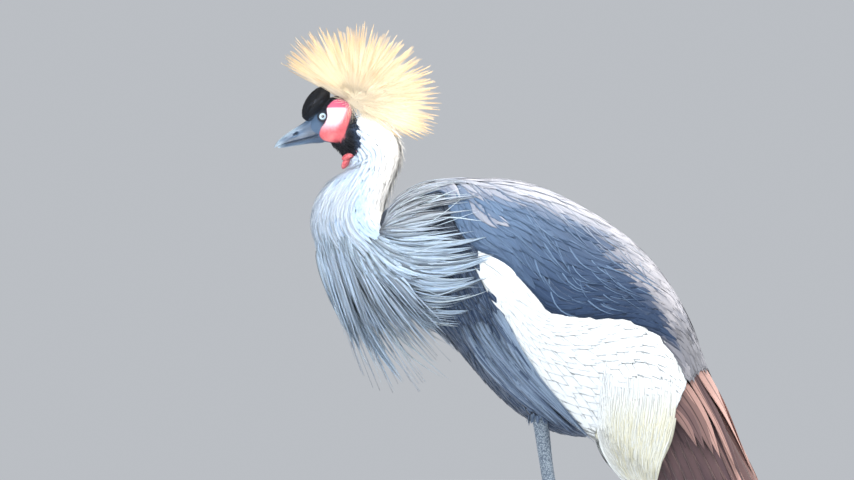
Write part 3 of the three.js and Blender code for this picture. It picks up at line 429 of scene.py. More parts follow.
def beside(x, z):
    """Half width at x and z and the outward direction there, on the bird's right side."""
    grid = WIDTH_GRID
    i = np.clip((x - grid["low_x"]) / grid["step"] - 0.5, 0, grid["across"] - 1.001)
    k = np.clip((z - grid["low_z"]) / grid["step"] - 0.5, 0, grid["up"] - 1.001)
    m, n = i.astype(int), k.astype(int)
    near = blend(WIDTH_MAP[m, n], WIDTH_MAP[m + 1, n], (i - m)[..., None])
    far = blend(WIDTH_MAP[m, n + 1], WIDTH_MAP[m + 1, n + 1], (i - m)[..., None])
    found = blend(near, far, (k - n)[..., None])
    slopes = np.clip(found[..., 1:], -grid["steep"], grid["steep"])
    return found[..., 0], unit(np.stack([-slopes[..., 0], np.ones_like(x), -slopes[..., 1]], -1))


def body_places(x, z):
    """Place s and height q in the body frame of places in the plane of symmetry."""
    x, z = x - BREAST[0], z - BREAST[2]
    return x * ALONG[0] + z * ALONG[2], x * UPWARD[0] + z * UPWARD[2]


def scatter(surface, span_a, span_b, count, seed):
    """Evenly spread surface parameters: points of a low-discrepancy sequence in the span, kept with
    a chance that grows with the area they stand for."""
    ratios = np.array([0.8191725134, 0.6710436067, 0.5497004779])
    draws = (seed * 0.137 + np.arange(1, count * 6)[:, None] * ratios) % 1
    a = blend(*span_a, draws[:, 0])
    b = blend(*span_b, draws[:, 1])
    _, _, size_a, size_b = frame_at(surface, a, b)
    area = size_a * size_b
    kept = np.flatnonzero(draws[:, 2] * np.percentile(area, 99) < area)[:count]
    return a[kept], b[kept]


def walk(surface, a, b, heading, length, rows, lift, bend=0.0, outward=1, limits=None):
    """Paths over a surface. Each starts at (a, b) and moves on by length / (rows - 1) at a time; its
    heading is measured from growing a towards growing b and turns by bend on the way. lift(t) is the
    height off the surface, and limits are the least and the most that b may be."""
    points, outs = [], []
    step = length / (rows - 1)
    for t in np.linspace(0, 1, rows):
        base, out, size_a, size_b = frame_at(surface, a, b)
        out = out * outward
        points.append(base + out * np.reshape(lift(t), (-1, 1)))
        outs.append(out)
        angle = heading + bend * t
        a = a + np.cos(angle) * step / size_a
        b = b + np.sin(angle) * step / np.maximum(size_b, 1e-3)
        if limits:
            b = np.clip(b, *limits)
    return np.stack(points, 1), np.stack(outs, 1)


def bezier(points, rows):
    """Cubic curves from four arrays of control points, read at even shares of the way."""
    t = np.linspace(0, 1, rows)[None, :, None]
    a, b, c, d = (np.asarray(p)[:, None, :] for p in points)
    return a * (1 - t) ** 3 + 3 * b * t * (1 - t) ** 2 + 3 * c * t * t * (1 - t) + d * t ** 3


def mirrored(array, side):
    """The same points or directions on the bird's right (side 1) or left (side -1)."""
    return array * np.array([1.0, side, 1.0])


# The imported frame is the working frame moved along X
eye_low, eye_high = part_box("eye_left")
EYE_X = (eye_low.x + eye_high.x) / 2 / MM
SHIFT = np.array([EYE_X - in_head(EYE["f"], EYE["g"], 0.0)[0], 0.0, 0.0])


def grid_faces(rows, ring, closed=False):
    """Quads between each row of a ring and the next, for rings that close on themselves. Where the rows
    close too, the last one joins the first."""
    here = np.arange(rows if closed else rows - 1)[:, None] * ring
    beyond = (here + ring) % (rows * ring)
    corner, after = np.arange(ring), (np.arange(ring) + 1) % ring
    return np.stack([here + corner, here + after, beyond + after, beyond + corner], -1).reshape(-1, 4)


def signed_volume(points, face_sets):
    """Volume inside closed faces, below 0 where they face inwards: the sum of a . (b x c) / 6 over
    the fan of triangles of each face, counted from the middle of the points."""
    points = points - points.mean(0)
    total = 0.0
    for faces in face_sets:
        first = points[faces[:, 0]]
        for k in range(1, faces.shape[1] - 1):
            total += (first * np.cross(points[faces[:, k]], points[faces[:, k + 1]])).sum()
    return total / 6


def placed(name, data):
    """An object of the scene, at the origin."""
    made = bpy.data.objects.new(name, data)
    bpy.context.scene.collection.objects.link(made)
    return made


def carry(mesh, floats):
    """Puts numbers on the points of a mesh: one for each point, or one for them all."""
    for key, values in floats.items():
        layer = mesh.attributes.new(key, "FLOAT", "POINT")
        values = np.broadcast_to(np.ravel(values), len(mesh.vertices)).astype(np.float32)
        layer.data.foreach_set("value", values)


def new_mesh(name, points, face_sets, floats=None, uv=None):
    """A mesh object in metres from points in millimetres and arrays of face corners, turned to face
    outwards, with numbers on its points and one UV place for each point where they are given."""
    mesh = bpy.data.meshes.new(name)
    points = (points.reshape(-1, 3) + SHIFT) * MM
    if signed_volume(points, face_sets) < 0:
        face_sets = [faces[:, ::-1] for faces in face_sets]
    corners = np.concatenate([faces.reshape(-1) for faces in face_sets]).astype(np.int32)
    sizes = np.concatenate([np.full(len(faces), faces.shape[1]) for faces in face_sets])
    starts = np.concatenate([[0], np.cumsum(sizes)[:-1]]).astype(np.int32)
    mesh.vertices.add(len(points))
    mesh.vertices.foreach_set("co", points.astype(np.float32).reshape(-1))
    mesh.loops.add(len(corners))
    mesh.loops.foreach_set("vertex_index", corners)
    mesh.polygons.add(len(sizes))
    mesh.polygons.foreach_set("loop_start", starts)
    mesh.update(calc_edges=True)
    mesh.shade_smooth()
    carry(mesh, floats or {})
    if uv is not None:
        layer = mesh.uv_layers.new(name="OFBake")
        layer.data.foreach_set("uv", uv.reshape(-1, 2)[corners].astype(np.float32).reshape(-1))
    return placed(name, mesh)


def dress(piece, finish, replaced=(), sheer=False):
    """Gives a piece its finish and lets it ride in place of CAD nodes. A sheer one is so thin
    and pale that light goes through it, so it throws no shadow."""
    piece.visible_shadow = not sheer
    piece.data.materials.clear()
    piece.data.materials.append(finish)
    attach(piece, "root")
    if replaced:
        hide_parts(*replaced)
    return piece


def tube(name, rings, floats=None):
    """A closed skin over rings of points, rows by points by three, with a face over each end."""
    rows, ring = rings.shape[:2]
    ends = [np.arange(ring)[None, ::-1], (np.arange(ring) + (rows - 1) * ring)[None]]
    return new_mesh(name, rings, [grid_faces(rows, ring), *ends], floats)


PATCH = 0.003


def strands(name, points, x, roots, lie, **numbers):
    """Feathers or bristles, all in one mesh, from their points: count by rows by ring by three.

    The points carry along (0 root, 1 tip), across (x), chance (one draw a feather), the outward
    direction lie of the place below, and the numbers given for each feather or for each row of it.
    The UV place is a small patch at the root's place on the unwrap.
    """
    count, rows, ring = points.shape[:3]
    base = np.arange(count)[:, None, None] * (rows * ring)
    walls = (base + grid_faces(rows, ring)[None]).reshape(-1, 4)
    fan = np.arange(ring)[None]
    ends = [base[:, :, 0] + fan[:, ::-1], base[:, :, 0] + fan + (rows - 1) * ring]
    shape = (count, rows, ring)
    t = np.linspace(0, 1, rows)[None, :, None]
    draw = np.random.default_rng(count).random(count)[:, None, None]
    floats = {
        "along": np.broadcast_to(t, shape), "across": np.broadcast_to(x, shape),
        "chance": np.broadcast_to(draw, shape),
    }
    for key, values in numbers.items():
        values = np.reshape(values, (-1, 1, 1)) if np.ndim(values) < 2 else values[..., None]
        floats[key] = np.broadcast_to(np.clip(values, 0, 1), shape)
    patch = np.stack(np.broadcast_arrays(PATCH / 2 * x, PATCH * (t - 0.5)), -1)
    uv = np.broadcast_to(roots[:, None, None, :] + patch, (*shape, 2))
    made = new_mesh(name, points, [walls, *ends], floats, uv)
    layer = made.data.attributes.new("lie", "FLOAT_VECTOR", "POINT")
    lie = np.broadcast_to(lie[:, :, None], points.shape)
    layer.data.foreach_set("vector", lie.astype(np.float32).reshape(-1))
    return made


def section_axes(paths, outs):
    """Directions across and up of the section square to each point of the paths."""
    tangents = unit(np.gradient(paths, axis=1))
    across = unit(np.cross(tangents, outs))
    return across[:, :, None], np.cross(across, tangents)[:, :, None]


def vanes(name, paths, outs, half, roots, thick=0.5, columns=3, camber=0.12, **numbers):
    """Feathers as closed vanes. Along each path a section is laid square to it: over x from -1 to 1
    its top is thick (1 - x x) / 2 - camber half x x above the path, and its underside is the same
    with the first term turned down. half and thick may change along the path."""
    count, rows = paths.shape[:2]
    across, ups = section_axes(paths, outs)
    x = np.linspace(-1, 1, columns)
    x = np.concatenate([x, x[-2:0:-1]])
    face = np.concatenate([np.ones(columns), -np.ones(columns - 2)])
    half = np.broadcast_to(half, (count, rows))[:, :, None]
    thick = np.broadcast_to(thick, (count, rows))[:, :, None]
    height = thick * face * (1 - x * x) / 2 - camber * half * x * x
    points = paths[:, :, None] + across * (half * x)[..., None] + ups * height[..., None]
    return strands(name, points, x, roots, outs, **numbers)


def needles(name, paths, outs, radius, roots, **numbers):
    """Bristles and hairs: three-sided rods of a radius round each path."""
    across, ups = section_axes(paths, outs)
    turn = full_turn(3)
    radius = np.broadcast_to(radius, paths.shape[:2])[:, :, None, None]
    points = paths[:, :, None] + radius * (across * np.cos(turn)[:, None] + ups * np.sin(turn)[:, None])
    return strands(name, points, np.cos(turn), roots, outs, **numbers)


def unwrap(region, a, b):
    """Place on the unwrap of the skin: each region is a rectangle (left, bottom, width, height) that
    its two surface parameters fill."""
    left, bottom, width, height, span_a, span_b = UNWRAP[region]
    u = left + width * np.clip((a - span_a[0]) / (span_a[1] - span_a[0]), 0, 1)
    v = bottom + height * np.clip((b - span_b[0]) / (span_b[1] - span_b[0]), 0, 1)
    return np.stack(np.broadcast_arrays(u, v), -1)


UNWRAP = {
    "back": (0.02, 0.02, 0.60, 0.20, (-60, 700), (-1.2, 1.2)),
    "flank": (0.02, 0.24, 0.60, 0.20, (-60, 700), (-1.2, 1.2)),
    "belly": (0.02, 0.46, 0.60, 0.20, (-60, 700), (-1.2, 1.2)),
    "neck": (0.02, 0.70, 0.60, 0.28, (0, 15), ALL_ROUND),
    "head": (0.66, 0.70, 0.30, 0.28, (-45, 60), ALL_ROUND),
    "cap": (0.66, 0.40, 0.30, 0.28, (0, np.pi), ALL_ROUND),
    "thigh": (0.66, 0.10, 0.30, 0.28, (0, 110), ALL_ROUND),
}


def leaf(t, widest=0.35, root=0.5, power=1.0):
    """Width of a pointed feather at t along it: a rising sine from root to 1 at the widest place, then
    1 - u ** (1 + power) down to the tip."""
    rising = root + (1 - root) * np.sin(np.pi / 2 * np.clip(t / widest, 0, 1))
    falling = 1 - np.clip((t - widest) / (1 - widest), 0, 1) ** (1 + power)
    return np.where(t < widest, rising, falling)


def blade(t):
    """Width of a flight feather at t along it, with a rounded end."""
    rising = 0.62 + 0.38 * np.sin(np.pi * np.clip(t, 0, 0.7) / 1.4)
    falling = np.sqrt(np.clip(1 - ((t - 0.7) / 0.302) ** 2, 0.0, 1))
    return np.where(t < 0.7, rising, falling)


# Finishes: small helpers that add shader nodes, then one function for each kind of surface
def node(tree, kind, values=None, **settings):
    """A shader node with its settings, and its inputs given by name or number as values or links."""
    made = tree.nodes.new("ShaderNode" + kind)
    for key, value in settings.items():
        setattr(made, key, value)
    for key, value in (values or {}).items():
        if isinstance(value, bpy.types.NodeSocket):
            tree.links.new(value, made.inputs[key])
        else:
            made.inputs[key].default_value = value
    return made


def number(tree, operation, a, b=0.0):
    """Output of a maths node."""
    return node(tree, "Math", {0: a, 1: b}, operation=operation).outputs[0]


def line(tree, value, slope, start):
    """Output of start + slope value."""
    return node(tree, "Math", {0: value, 1: slope, 2: start}, operation="MULTIPLY_ADD").outputs[0]


def rise(tree, value, low, high):
    """Smooth step from 0 at low to 1 at high."""
    values = {"Value": value, "From Min": low, "From Max": high}
    return node(tree, "MapRange", values, interpolation_type="SMOOTHSTEP").outputs[0]


def mixed(tree, share, a, b):
    """Colour a where the share is 0 and colour b where it is 1. A name stands for a number that the
    points carry, or for a colour of the table."""
    if isinstance(share, str):
        share = attribute(tree, share)
    a, b = (colour(tint) if isinstance(tint, str) else tint for tint in (a, b))
    return node(tree, "Mix", {0: share, 6: a, 7: b}, data_type="RGBA").outputs[2]


def colour(name):
    """A colour of the table as the linear values that shaders take."""
    screen = np.array(COLOURS[name]) / 255
    linear = np.where(screen <= 0.04045, screen / 12.92, ((screen + 0.055) / 1.055) ** 2.4)
    return (*linear, 1.0)


def attribute(tree, name):
    """A number that the mesh carries on its points."""
    return node(tree, "Attribute", attribute_name=name).outputs["Fac"]


def own_place(tree):
    """Places in the object's own coordinates."""
    return node(tree, "TexCoord").outputs["Object"]


def noise(tree, scale, detail=2.0):
    """Noise over the object's own coordinates, about 0.5, with scale in cells a metre."""
    values = {"Vector": own_place(tree), "Scale": scale, "Detail": detail}
    return node(tree, "TexNoise", values).outputs["Fac"]


def new_finish(name, roughness, **sockets):
    """A material with its shader's plain numbers set."""
    material = bpy.data.materials.new(name)
    material.use_nodes = True
    shader = material.node_tree.nodes["Principled BSDF"]
    shader.inputs["Roughness"].default_value = roughness
    for key, value in sockets.items():
        shader.inputs[key.replace("_", " ")].default_value = value
    return material, material.node_tree, shader


def finished(tree, shader, base, height=None, strength=0.5, distance=0.0004, normal=None):
    """Links a colour and, through a bump over a normal, a height to the shader."""
    tree.links.new(base, shader.inputs["Base Color"])
    if height is not None:
        values = {"Height": height, "Strength": strength, "Distance": distance}
        if normal is not None:
            values["Normal"] = normal
        tree.links.new(node(tree, "Bump", values).outputs[0], shader.inputs["Normal"])


def calmed(tree, share):
    """Normal drawn by a share towards the outward direction of the place that a feather lies on, so
    that close feathers shade as one soft surface. It is turned where the underside is seen."""
    own = node(tree, "NewGeometry").outputs["Normal"]
    lie = node(tree, "Attribute", attribute_name="lie").outputs["Vector"]
    same = node(tree, "VectorMath", {0: own, 1: lie}, operation="DOT_PRODUCT").outputs["Value"]
    sign = number(tree, "SIGN", number(tree, "ADD", same, 0.6))
    turned = {0: lie, "Scale": number(tree, "MULTIPLY", sign, share / (1 - share))}
    drawn = node(tree, "VectorMath", turned, operation="SCALE").outputs[0]
    total = node(tree, "VectorMath", {0: own, 1: drawn}, operation="ADD").outputs[0]
    return node(tree, "VectorMath", {0: total}, operation="NORMALIZE").outputs[0]


def feather_finish(name, base, pale, dark, root_shade=0.6, root_reach=0.5, edge=0.25, rim=0.7, shaft=0.4,
                   shaft_colour=None, barbs=45, slope=7, spread=0.3, blotch=0.3, fibre_shade=0.25,
                   roughness=0.6, sheen=0.15, bump=0.35, calm=0.0):
    """Feather: base turns pale with tone, and grey or pink where the points say so; on the back much of
    that grey and pink is painted sunlight. It is darker at the root, painted shade where roots show
    between feathers, pale at its edges and along the shaft, darker by painted shade and by some
    feathers' own darker tone as the points say, and has barbs as slanting fibres
    sin((along barbs + |across| slope) 2 pi). Its shading is calmed by the share calm."""
    material, tree, shader = new_finish(name, roughness, Sheen_Weight=sheen, Specular_IOR_Level=0.3)
    along, chance = attribute(tree, "along"), attribute(tree, "chance")
    side = number(tree, "ABSOLUTE", attribute(tree, "across"))
    turn = number(tree, "ADD", number(tree, "MULTIPLY", along, barbs), number(tree, "MULTIPLY", side, slope))
    wobble = number(tree, "MULTIPLY", noise(tree, 400.0), 1.5)
    wave = number(tree, "SINE", number(tree, "MULTIPLY", number(tree, "ADD", turn, wobble), 2 * np.pi))
    fibre = line(tree, wave, 0.5, 0.5)
    # Painted shade: darker at the root, where roots show between feathers.
    root = number(tree, "SUBTRACT", 1.0, rise(tree, along, 0.0, root_reach))
    middle = number(tree, "SUBTRACT", 1.0, rise(tree, side, 0.04, 0.14))
    shown = mixed(tree, "tone", base, pale)
    shown = mixed(tree, "greyness_and_sunlight", shown, "grey")
    shown = mixed(tree, "sunlit_warmth", shown, "sunlit_pink")
    for share, strength, tint in (
            (root, root_shade, dark), (rise(tree, side, rim, 1.0), edge, pale),
            (fibre, fibre_shade, dark), (middle, shaft, shaft_colour or pale)):
        shown = mixed(tree, number(tree, "MULTIPLY", share, strength), shown, tint)
    value = line(tree, chance, spread, 1 - spread / 2)
    value = number(tree, "MULTIPLY", value, line(tree, noise(tree, 25.0), blotch, 1 - blotch / 2))
    # Painted shade, and some feathers' own darker tone, as the points say.
    value = number(tree, "MULTIPLY", value, line(tree, attribute(tree, "shade"), -0.85, 1.0))
    shown = node(tree, "HueSaturation", {"Color": shown, "Value": value}).outputs[0]
    finished(tree, shader, shown, fibre, bump, 0.0003, calmed(tree, calm) if calm else None)
    return material


def skin_finish():
    """Skin under the coat and on the bare face: black turns blue-grey on the lores, red and white on
    the cheek, pale on the neck and slate or white on the body, as the numbers on its points say."""
    material, tree, shader = new_finish("skin", 0.5, Specular_IOR_Level=0.35)
    grain, pores = noise(tree, 60.0), noise(tree, 900.0, 3.0)
    lore = mixed(tree, line(tree, pores, 0.4, 0.4), "bill_dark", "bill")
    red = mixed(tree, line(tree, noise(tree, 160.0), 0.9, -0.1), "red", "pink")
    red = mixed(tree, "crimson", red, "crimson")
    red = mixed(tree, "pinkness", red, "pink")
    speckle = line(tree, noise(tree, 260.0, 4.0), 0.24, -0.12)
    white = rise(tree, number(tree, "ADD", attribute(tree, "white"), speckle), 0.05, 0.95)
    pale = mixed(tree, grain, "pale_dark", "pale")
    shown = mixed(tree, grain, "black", "blue_black")
    for share, tint in (
            ("lore", lore), ("cheek", red), (white, "cheek_white"), ("pale", pale),
            ("slate", "slate_dark"), ("panel", "white")):
        shown = mixed(tree, share, shown, tint)
    finished(tree, shader, shown, pores, 0.5, 0.0005)
    return material


def horn_finish(name, base, dark, pale, roughness):
    """Horn: streaked, pale where tone says so and dark where shade does, with the streaks raised. On
    the bill the paleness is a painted highlight and the darkness is partly painted shade.
    """
    material, tree, shader = new_finish(name, roughness, Coat_Weight=0.15, Coat_Roughness=0.3)
    stretch = node(tree, "Mapping", {"Vector": own_place(tree), "Scale": (40.0, 220.0, 220.0)}).outputs[0]
    streak = node(tree, "TexNoise", {"Vector": stretch, "Scale": 1.0, "Detail": 4.0}).outputs["Fac"]
    shown = mixed(tree, line(tree, streak, 1.2, -0.1), dark, base)
    shown = mixed(tree, "shade", shown, dark)
    shown = mixed(tree, "tone", shown, pale)
    finished(tree, shader, shown, streak, 0.35, 0.0004)
    return material


def scale_finish():
    """Leg: small pale scales with dark seams and specks, from cells over the object's own coordinates."""
    material, tree, shader = new_finish("leg_scales", 0.55, Specular_IOR_Level=0.4)
    cells = {"Vector": own_place(tree), "Scale": 520.0}
    seam = node(tree, "TexVoronoi", cells, feature="DISTANCE_TO_EDGE").outputs["Distance"]
    tint = node(tree, "TexVoronoi", cells, feature="F1").outputs["Color"]
    plate = rise(tree, seam, 0.03, 0.2)
    speck = rise(tree, node(tree, "SeparateColor", {0: tint}).outputs[0], 0.15, 0.45)
    shown = mixed(tree, plate, "leg_dark", mixed(tree, speck, "leg_dark", "leg"))
    finished(tree, shader, shown, plate, 0.6, 0.0005)
    return material


def eye_finish():
    """Eye: black pupil, pale iris with fine spokes and a dark rim, by the distance from the axis."""
    material, tree, shader = new_finish("eye", 0.06, Coat_Weight=1.0, Coat_Roughness=0.02)
    ring = attribute(tree, "ring")
    spokes = number(tree, "SINE", number(tree, "MULTIPLY", attribute(tree, "spoke"), 60.0))
    iris = mixed(tree, number(tree, "MULTIPLY", spokes, 0.12), "iris", "bill")
    shown = mixed(tree, rise(tree, ring, EYE["pupil"] - 0.2, EYE["pupil"] + 0.2), "black", iris)
    rim = rise(tree, ring, EYE["iris"] - 0.9, EYE["iris"] + 0.1)
    finished(tree, shader, mixed(tree, rim, shown, "blue_black"))
    return material


def wattle_finish():
    """Bare red skin with soft folds and pores."""
    material, tree, shader = new_finish("wattle_skin", 0.4, Subsurface_Weight=0.2, Subsurface_Scale=0.003)
    shown = mixed(tree, rise(tree, noise(tree, 260.0, 3.0), 0.3, 0.7), "red", "pink")
    finished(tree, shader, shown, noise(tree, 700.0, 4.0), 0.6, 0.0007)
    return material


def floor_finish():
    """Plain pale floor with the faintest mottling."""
    material, tree, shader = new_finish("studio_floor", 0.9)
    mottling = number(tree, "MULTIPLY", noise(tree, 3.0), 0.04)
    finished(tree, shader, mixed(tree, mottling, "floor", "slate_pale"))
    return material


SLATE = feather_finish("slate_feathers", "slate", "slate_pale", "slate_dark", root_shade=0.25, edge=0.22,
                       rim=0.88, shaft=0.06, spread=0.08, blotch=0.12, fibre_shade=0.05, bump=0.08, calm=0.6)
BODY = feather_finish("body_feathers", "slate", "plume", "slate_dark", root_shade=0.7, edge=0.4,
                      rim=0.7, shaft=0.2, spread=0.15, blotch=0.15, fibre_shade=0.1, calm=0.4)
NECK_SOFT = feather_finish("neck_feathers", "pale", "pale_white", "pale_dark", root_shade=0.0, edge=0.1,
                           shaft=0.0, spread=0.07, blotch=0.08, fibre_shade=0.05, barbs=1, slope=2.5,
                           sheen=0.2, bump=0.1, calm=0.8)
RUFF_SOFT = feather_finish("ruff_plumes", "plume", "pale_white", "plume_dark", root_shade=0.12,
                           root_reach=0.2, edge=0.4, rim=0.6, shaft=0.15, spread=0.2, blotch=0.15,
                           fibre_shade=0.08, barbs=30, calm=0.65)
# Pale plumes: the navy at their roots is painted shade in the gaps between them.
PLUME = feather_finish("pale_plumes", "plume", "plume_tip", "plume_dark", root_shade=0.85, root_reach=0.36,
                       edge=0.45, rim=0.6, shaft=0.2, spread=0.22, blotch=0.2, fibre_shade=0.1, barbs=30,
                       calm=0.3)
WHITE = feather_finish("white_feathers", "white", "cream", "slate_pale", root_shade=0.0, shaft=0.0,
                       edge=0.0, fibre_shade=0.02, spread=0.02, blotch=0.03, bump=0.05, calm=0.9)
STRAW = feather_finish("straw_plumes", "white", "straw", "straw_dark", root_shade=0.0, shaft=0.0,
                       edge=0.0, fibre_shade=0.03, spread=0.1, blotch=0.1, bump=0.1, calm=0.7)
# Chestnut is the quills' colour in shade; tone turns it to the same colour in painted sunlight.
CHESTNUT = feather_finish("chestnut_quills", "chestnut", "sunlit_chestnut", "maroon", root_shade=0.3, edge=0.2,
                          rim=0.9, shaft=0.7, shaft_colour="maroon", barbs=110, slope=10,
                          fibre_shade=0.15, spread=0.15)
QUILL_BLACK = feather_finish("black_quills", "quill_black", "slate_dark", "black", barbs=110, slope=10)
# Velvet: black, turned blue-grey by tone where a sheen is painted on the throat.
VELVET = feather_finish("velvet", "black", "throat_sheen_blue", "black", root_shade=0.2, edge=0.08, shaft=0.0,
                        roughness=0.85, sheen=0.05)
BRISTLE = feather_finish("crest_bristles", "gold", "sunlit_gold", "gold_dark", root_shade=0.0, edge=0.0,
                         shaft=0.0, barbs=14, slope=0, spread=0.2, blotch=0.06, fibre_shade=0.06,
                         roughness=0.5, sheen=0.3)


def cheek_depth(f, g):
    """Distance inside the outline of the bare cheek, below 0 outside it. The outline is a closed
    smooth curve through its points; the sign comes from counting the edges to one side."""
    share = np.linspace(0, 1, 6, endpoint=False)[:, None, None]
    before, here, after, beyond = (np.roll(CHEEK_EDGE, k, 0)[None] for k in (1, 0, -1, -2))
    curve = here + share / 2 * (after - before + share * (2 * before - 5 * here + 4 * after - beyond
                                + share * (3 * (here - after) + beyond - before)))
    start = curve.transpose(1, 0, 2).reshape(-1, 2)
    end = np.roll(start, -1, 0)
    shape = np.shape(f)
    spot = np.stack([np.ravel(f), np.ravel(g)], -1)[:, None]
    edge = end - start
    part = np.clip(((spot - start) * edge).sum(-1) / (edge * edge).sum(-1), 0, 1)
    away = np.linalg.norm(spot - start - part[..., None] * edge, axis=-1).min(1)
    level = (start[:, 1] > spot[..., 1]) != (end[:, 1] > spot[..., 1])
    rise_by = np.where(edge[:, 1] == 0, 1e-9, edge[:, 1])
    ahead = spot[..., 0] < start[:, 0] + edge[:, 0] * (spot[..., 1] - start[:, 1]) / rise_by
    inside = (level & ahead).sum(1) % 2
    return np.where(inside, away, -away).reshape(shape)


# Border between the black head and the pale neck: height g, then place f in the head frame
HEAD_BORDER = track([
    [-71.5, 21.3], [-61.6, 7.8], [-58.6, -2.2], [-53.8, -8.0], [-45.9, -13.9], [-36.6, -16.4],
    [-20.6, -18.0], [-7.9, -22.3], [3.4, -25.0], [30, -30],
])


def black_share(points):
    """1 on the black head, 0 on the pale neck and body, with a soft border."""
    f, g = head_places(points)
    return smooth(-1.5, 1.5, f - HEAD_BORDER(g)[0]) * smooth(-70, -64, g) * smooth(-60, -50, f)


def throat_red(points):
    """1 on the bare red strip of the throat above the wattle, 0 off it."""
    x, z = points[..., 0], points[..., 2]
    return smooth(1.5, -1.5, z - WATTLE_TOP["z"] - WATTLE_TOP["slope"] * (x - WATTLE_TOP["x"]))


def fuse(name, parts):
    """One closed skin from closed parts: the first part joined with each of the others in turn."""
    base = parts[0]
    for part in parts[1:]:
        joint = base.modifiers.new("join", "BOOLEAN")
        joint.operation = "UNION"
        joint.solver = "MANIFOLD"
        joint.object = part
    mesh = bpy.data.meshes.new_from_object(base.evaluated_get(bpy.context.evaluated_depsgraph_get()))
    for part in parts:
        bpy.data.objects.remove(part)
    mesh.name = name
    return placed(name, mesh)


def surface_tube(name, surface, span, rows, ring):
    """A closed tube over a surface of rings, rows by ring points."""
    a = np.linspace(*span, rows)[:, None]
    return tube(name, surface(a, full_turn(ring)))


HEAD_SWELL = {"cheek": 1.5, "wrinkle": 0.35, "brow": 1.2, "socket": 10.5}


def head_rings():
    """Skull with the cheek swollen inside its outline and wrinkled on its lower part, a brow over the
    eye and a socket where the eyeball sits."""
    points = skull_surface(np.linspace(*SKULL_SPAN, 120)[:, None], full_turn(120))
    around, up = head_places(points)
    side = np.sign(points[..., 1])
    flank = smooth(3, 9, np.abs(points[..., 1]))
    depth = cheek_depth(around, up)
    away = np.hypot(around - EYE["f"], up - EYE["g"])
    wrinkle = np.sin(around * 1.1 + up * 0.5) * smooth(2, 5, depth) * smooth(-4, -12, up)
    brow = smooth(11, 8, away) * smooth(4, 7, away)
    swell = (HEAD_SWELL["cheek"] * smooth(-0.6, 2.6, depth) + HEAD_SWELL["wrinkle"] * wrinkle
             + HEAD_SWELL["brow"] * brow)
    points[..., 1] += side * flank * swell
    socket = smooth(6.4, 4.8, away) * flank
    points[..., 1] = blend(points[..., 1], side * HEAD_SWELL["socket"], socket)
    return points


def lid_ring(side):
    """Lids as a ring round the eye: a circle of the lid's radius swept with a flattened section."""
    turn, section = full_turn(40)[:, None], full_turn(12)
    radius = LID["radius"] + LID["thick"] * np.cos(section)
    f = EYE["f"] + LID["long"] * radius * np.cos(turn)
    g = EYE["g"] + LID["high"] * radius * np.sin(turn)
    points = in_head(f, g, side * (LID["out"] + LID["thick"] * np.sin(section)))
    return new_mesh("lid", points, [grid_faces(40, 12, closed=True)])


def cheek_lobe(side):
    """Soft pad of the lower cheek, an ellipsoid in the head frame."""
    along, across, up = ball(CHEEK_LOBE["size"], np.linspace(*BALL_SPAN, 40)[:, None], full_turn(48))
    points = in_head(CHEEK_LOBE["f"] + along, CHEEK_LOBE["g"] + up, side * (CHEEK_LOBE["y"] + across))
    return tube("lobe", points)


def skin():
    """One skin over the body, neck, head and thighs, inside the coat by its depth."""
    parts = [
        surface_tube("body", lambda s, turn: oval(SKIN, in_body, s, turn), SKIN_SPAN, 60, 72),
        surface_tube("neck", lambda a, turn: neck_surface(a, turn, -NECK_COAT), NECK_SPAN, 70, 64),
        tube("head", head_rings()),
        surface_tube("cap", cap_surface, BALL_SPAN, 40, 48),
        lid_ring(1), lid_ring(-1), cheek_lobe(1), cheek_lobe(-1),
    ]
    for side in SIDES.values():
        parts.append(surface_tube("thigh", lambda d, turn, side=side: mirrored(thigh_surface(d, turn), side),
                                  (0, 98), 20, 32))
    made = fuse("skin", parts)
    count = len(made.data.vertices)
    places = np.empty(count * 3, np.float32)
    made.data.vertices.foreach_get("co", places)
    points = places.reshape(-1, 3) / MM - SHIFT
    f, g = head_places(points)
    x, z = points[:, 0], points[:, 2]
    on_head = black_share(points)
    cheek = smooth(-0.3, 0.7, cheek_depth(f, g)) * on_head * smooth(3, 7, np.abs(points[:, 1]))
    cheek = np.maximum(cheek, on_head * throat_red(points))
    before_rim = -259.0 - x - 0.4 * (807 - z)
    white = cheek * smooth(811.5, 807, z) * smooth(-7, 7, before_rim) * smooth(764, 800, z)
    ring = np.hypot(f - EYE["f"], g - EYE["g"])
    neck = smooth(640, 690, z) * smooth(-150, -190, x)
    s, q = body_places(x, z)
    panel = (smooth(42, 56, s) * smooth(500, 490, s) * smooth(2, -4, q - PANEL_LINE(s)[0])
             * smooth(-4, 2, q - WHITE_LOWER(s)[0]))
    masks = {
        "lore": smooth(22, 33, f) * smooth(1.5, -2.5, g - LORE_TOP(f)[0]) * on_head * smooth(7.6, 9.4, ring),
        "cheek": cheek, "white": white, "pinkness": smooth(-14, -26, g) * smooth(-1, 8, before_rim),
        "crimson": smooth(804, 811, z), "pale": (1 - on_head) * neck,
        "slate": (1 - on_head) * (1 - neck), "panel": panel,
    }
    carry(made.data, masks)
    made.data.shade_smooth()
    return dress(made, skin_finish(),
                 ("torso", "neck_lower", "neck_upper", "head", "thigh_right", "thigh_left"))


def settle(root, tip, power=1.0):
    """Height off a surface along a feather: root + (tip - root) t ** power."""
    return lambda t: root + (tip - root) * t ** power


def lay(surface, region, a, b, side, heading, length, half, lift, rows=7, bend=0.0, outward=1,
        limits=None, shape=leaf):
    """Feathers laid over a surface on one side of the bird: paths, outward directions, half widths
    and places on the unwrap."""
    paths, outs = walk(surface, a, b, heading, length, rows, lift, bend, outward, limits)
    widths = np.reshape(half, (-1, 1)) * shape(np.linspace(0, 1, rows))
    return mirrored(paths, side), mirrored(outs, side), widths, unwrap(region, a, side * b)


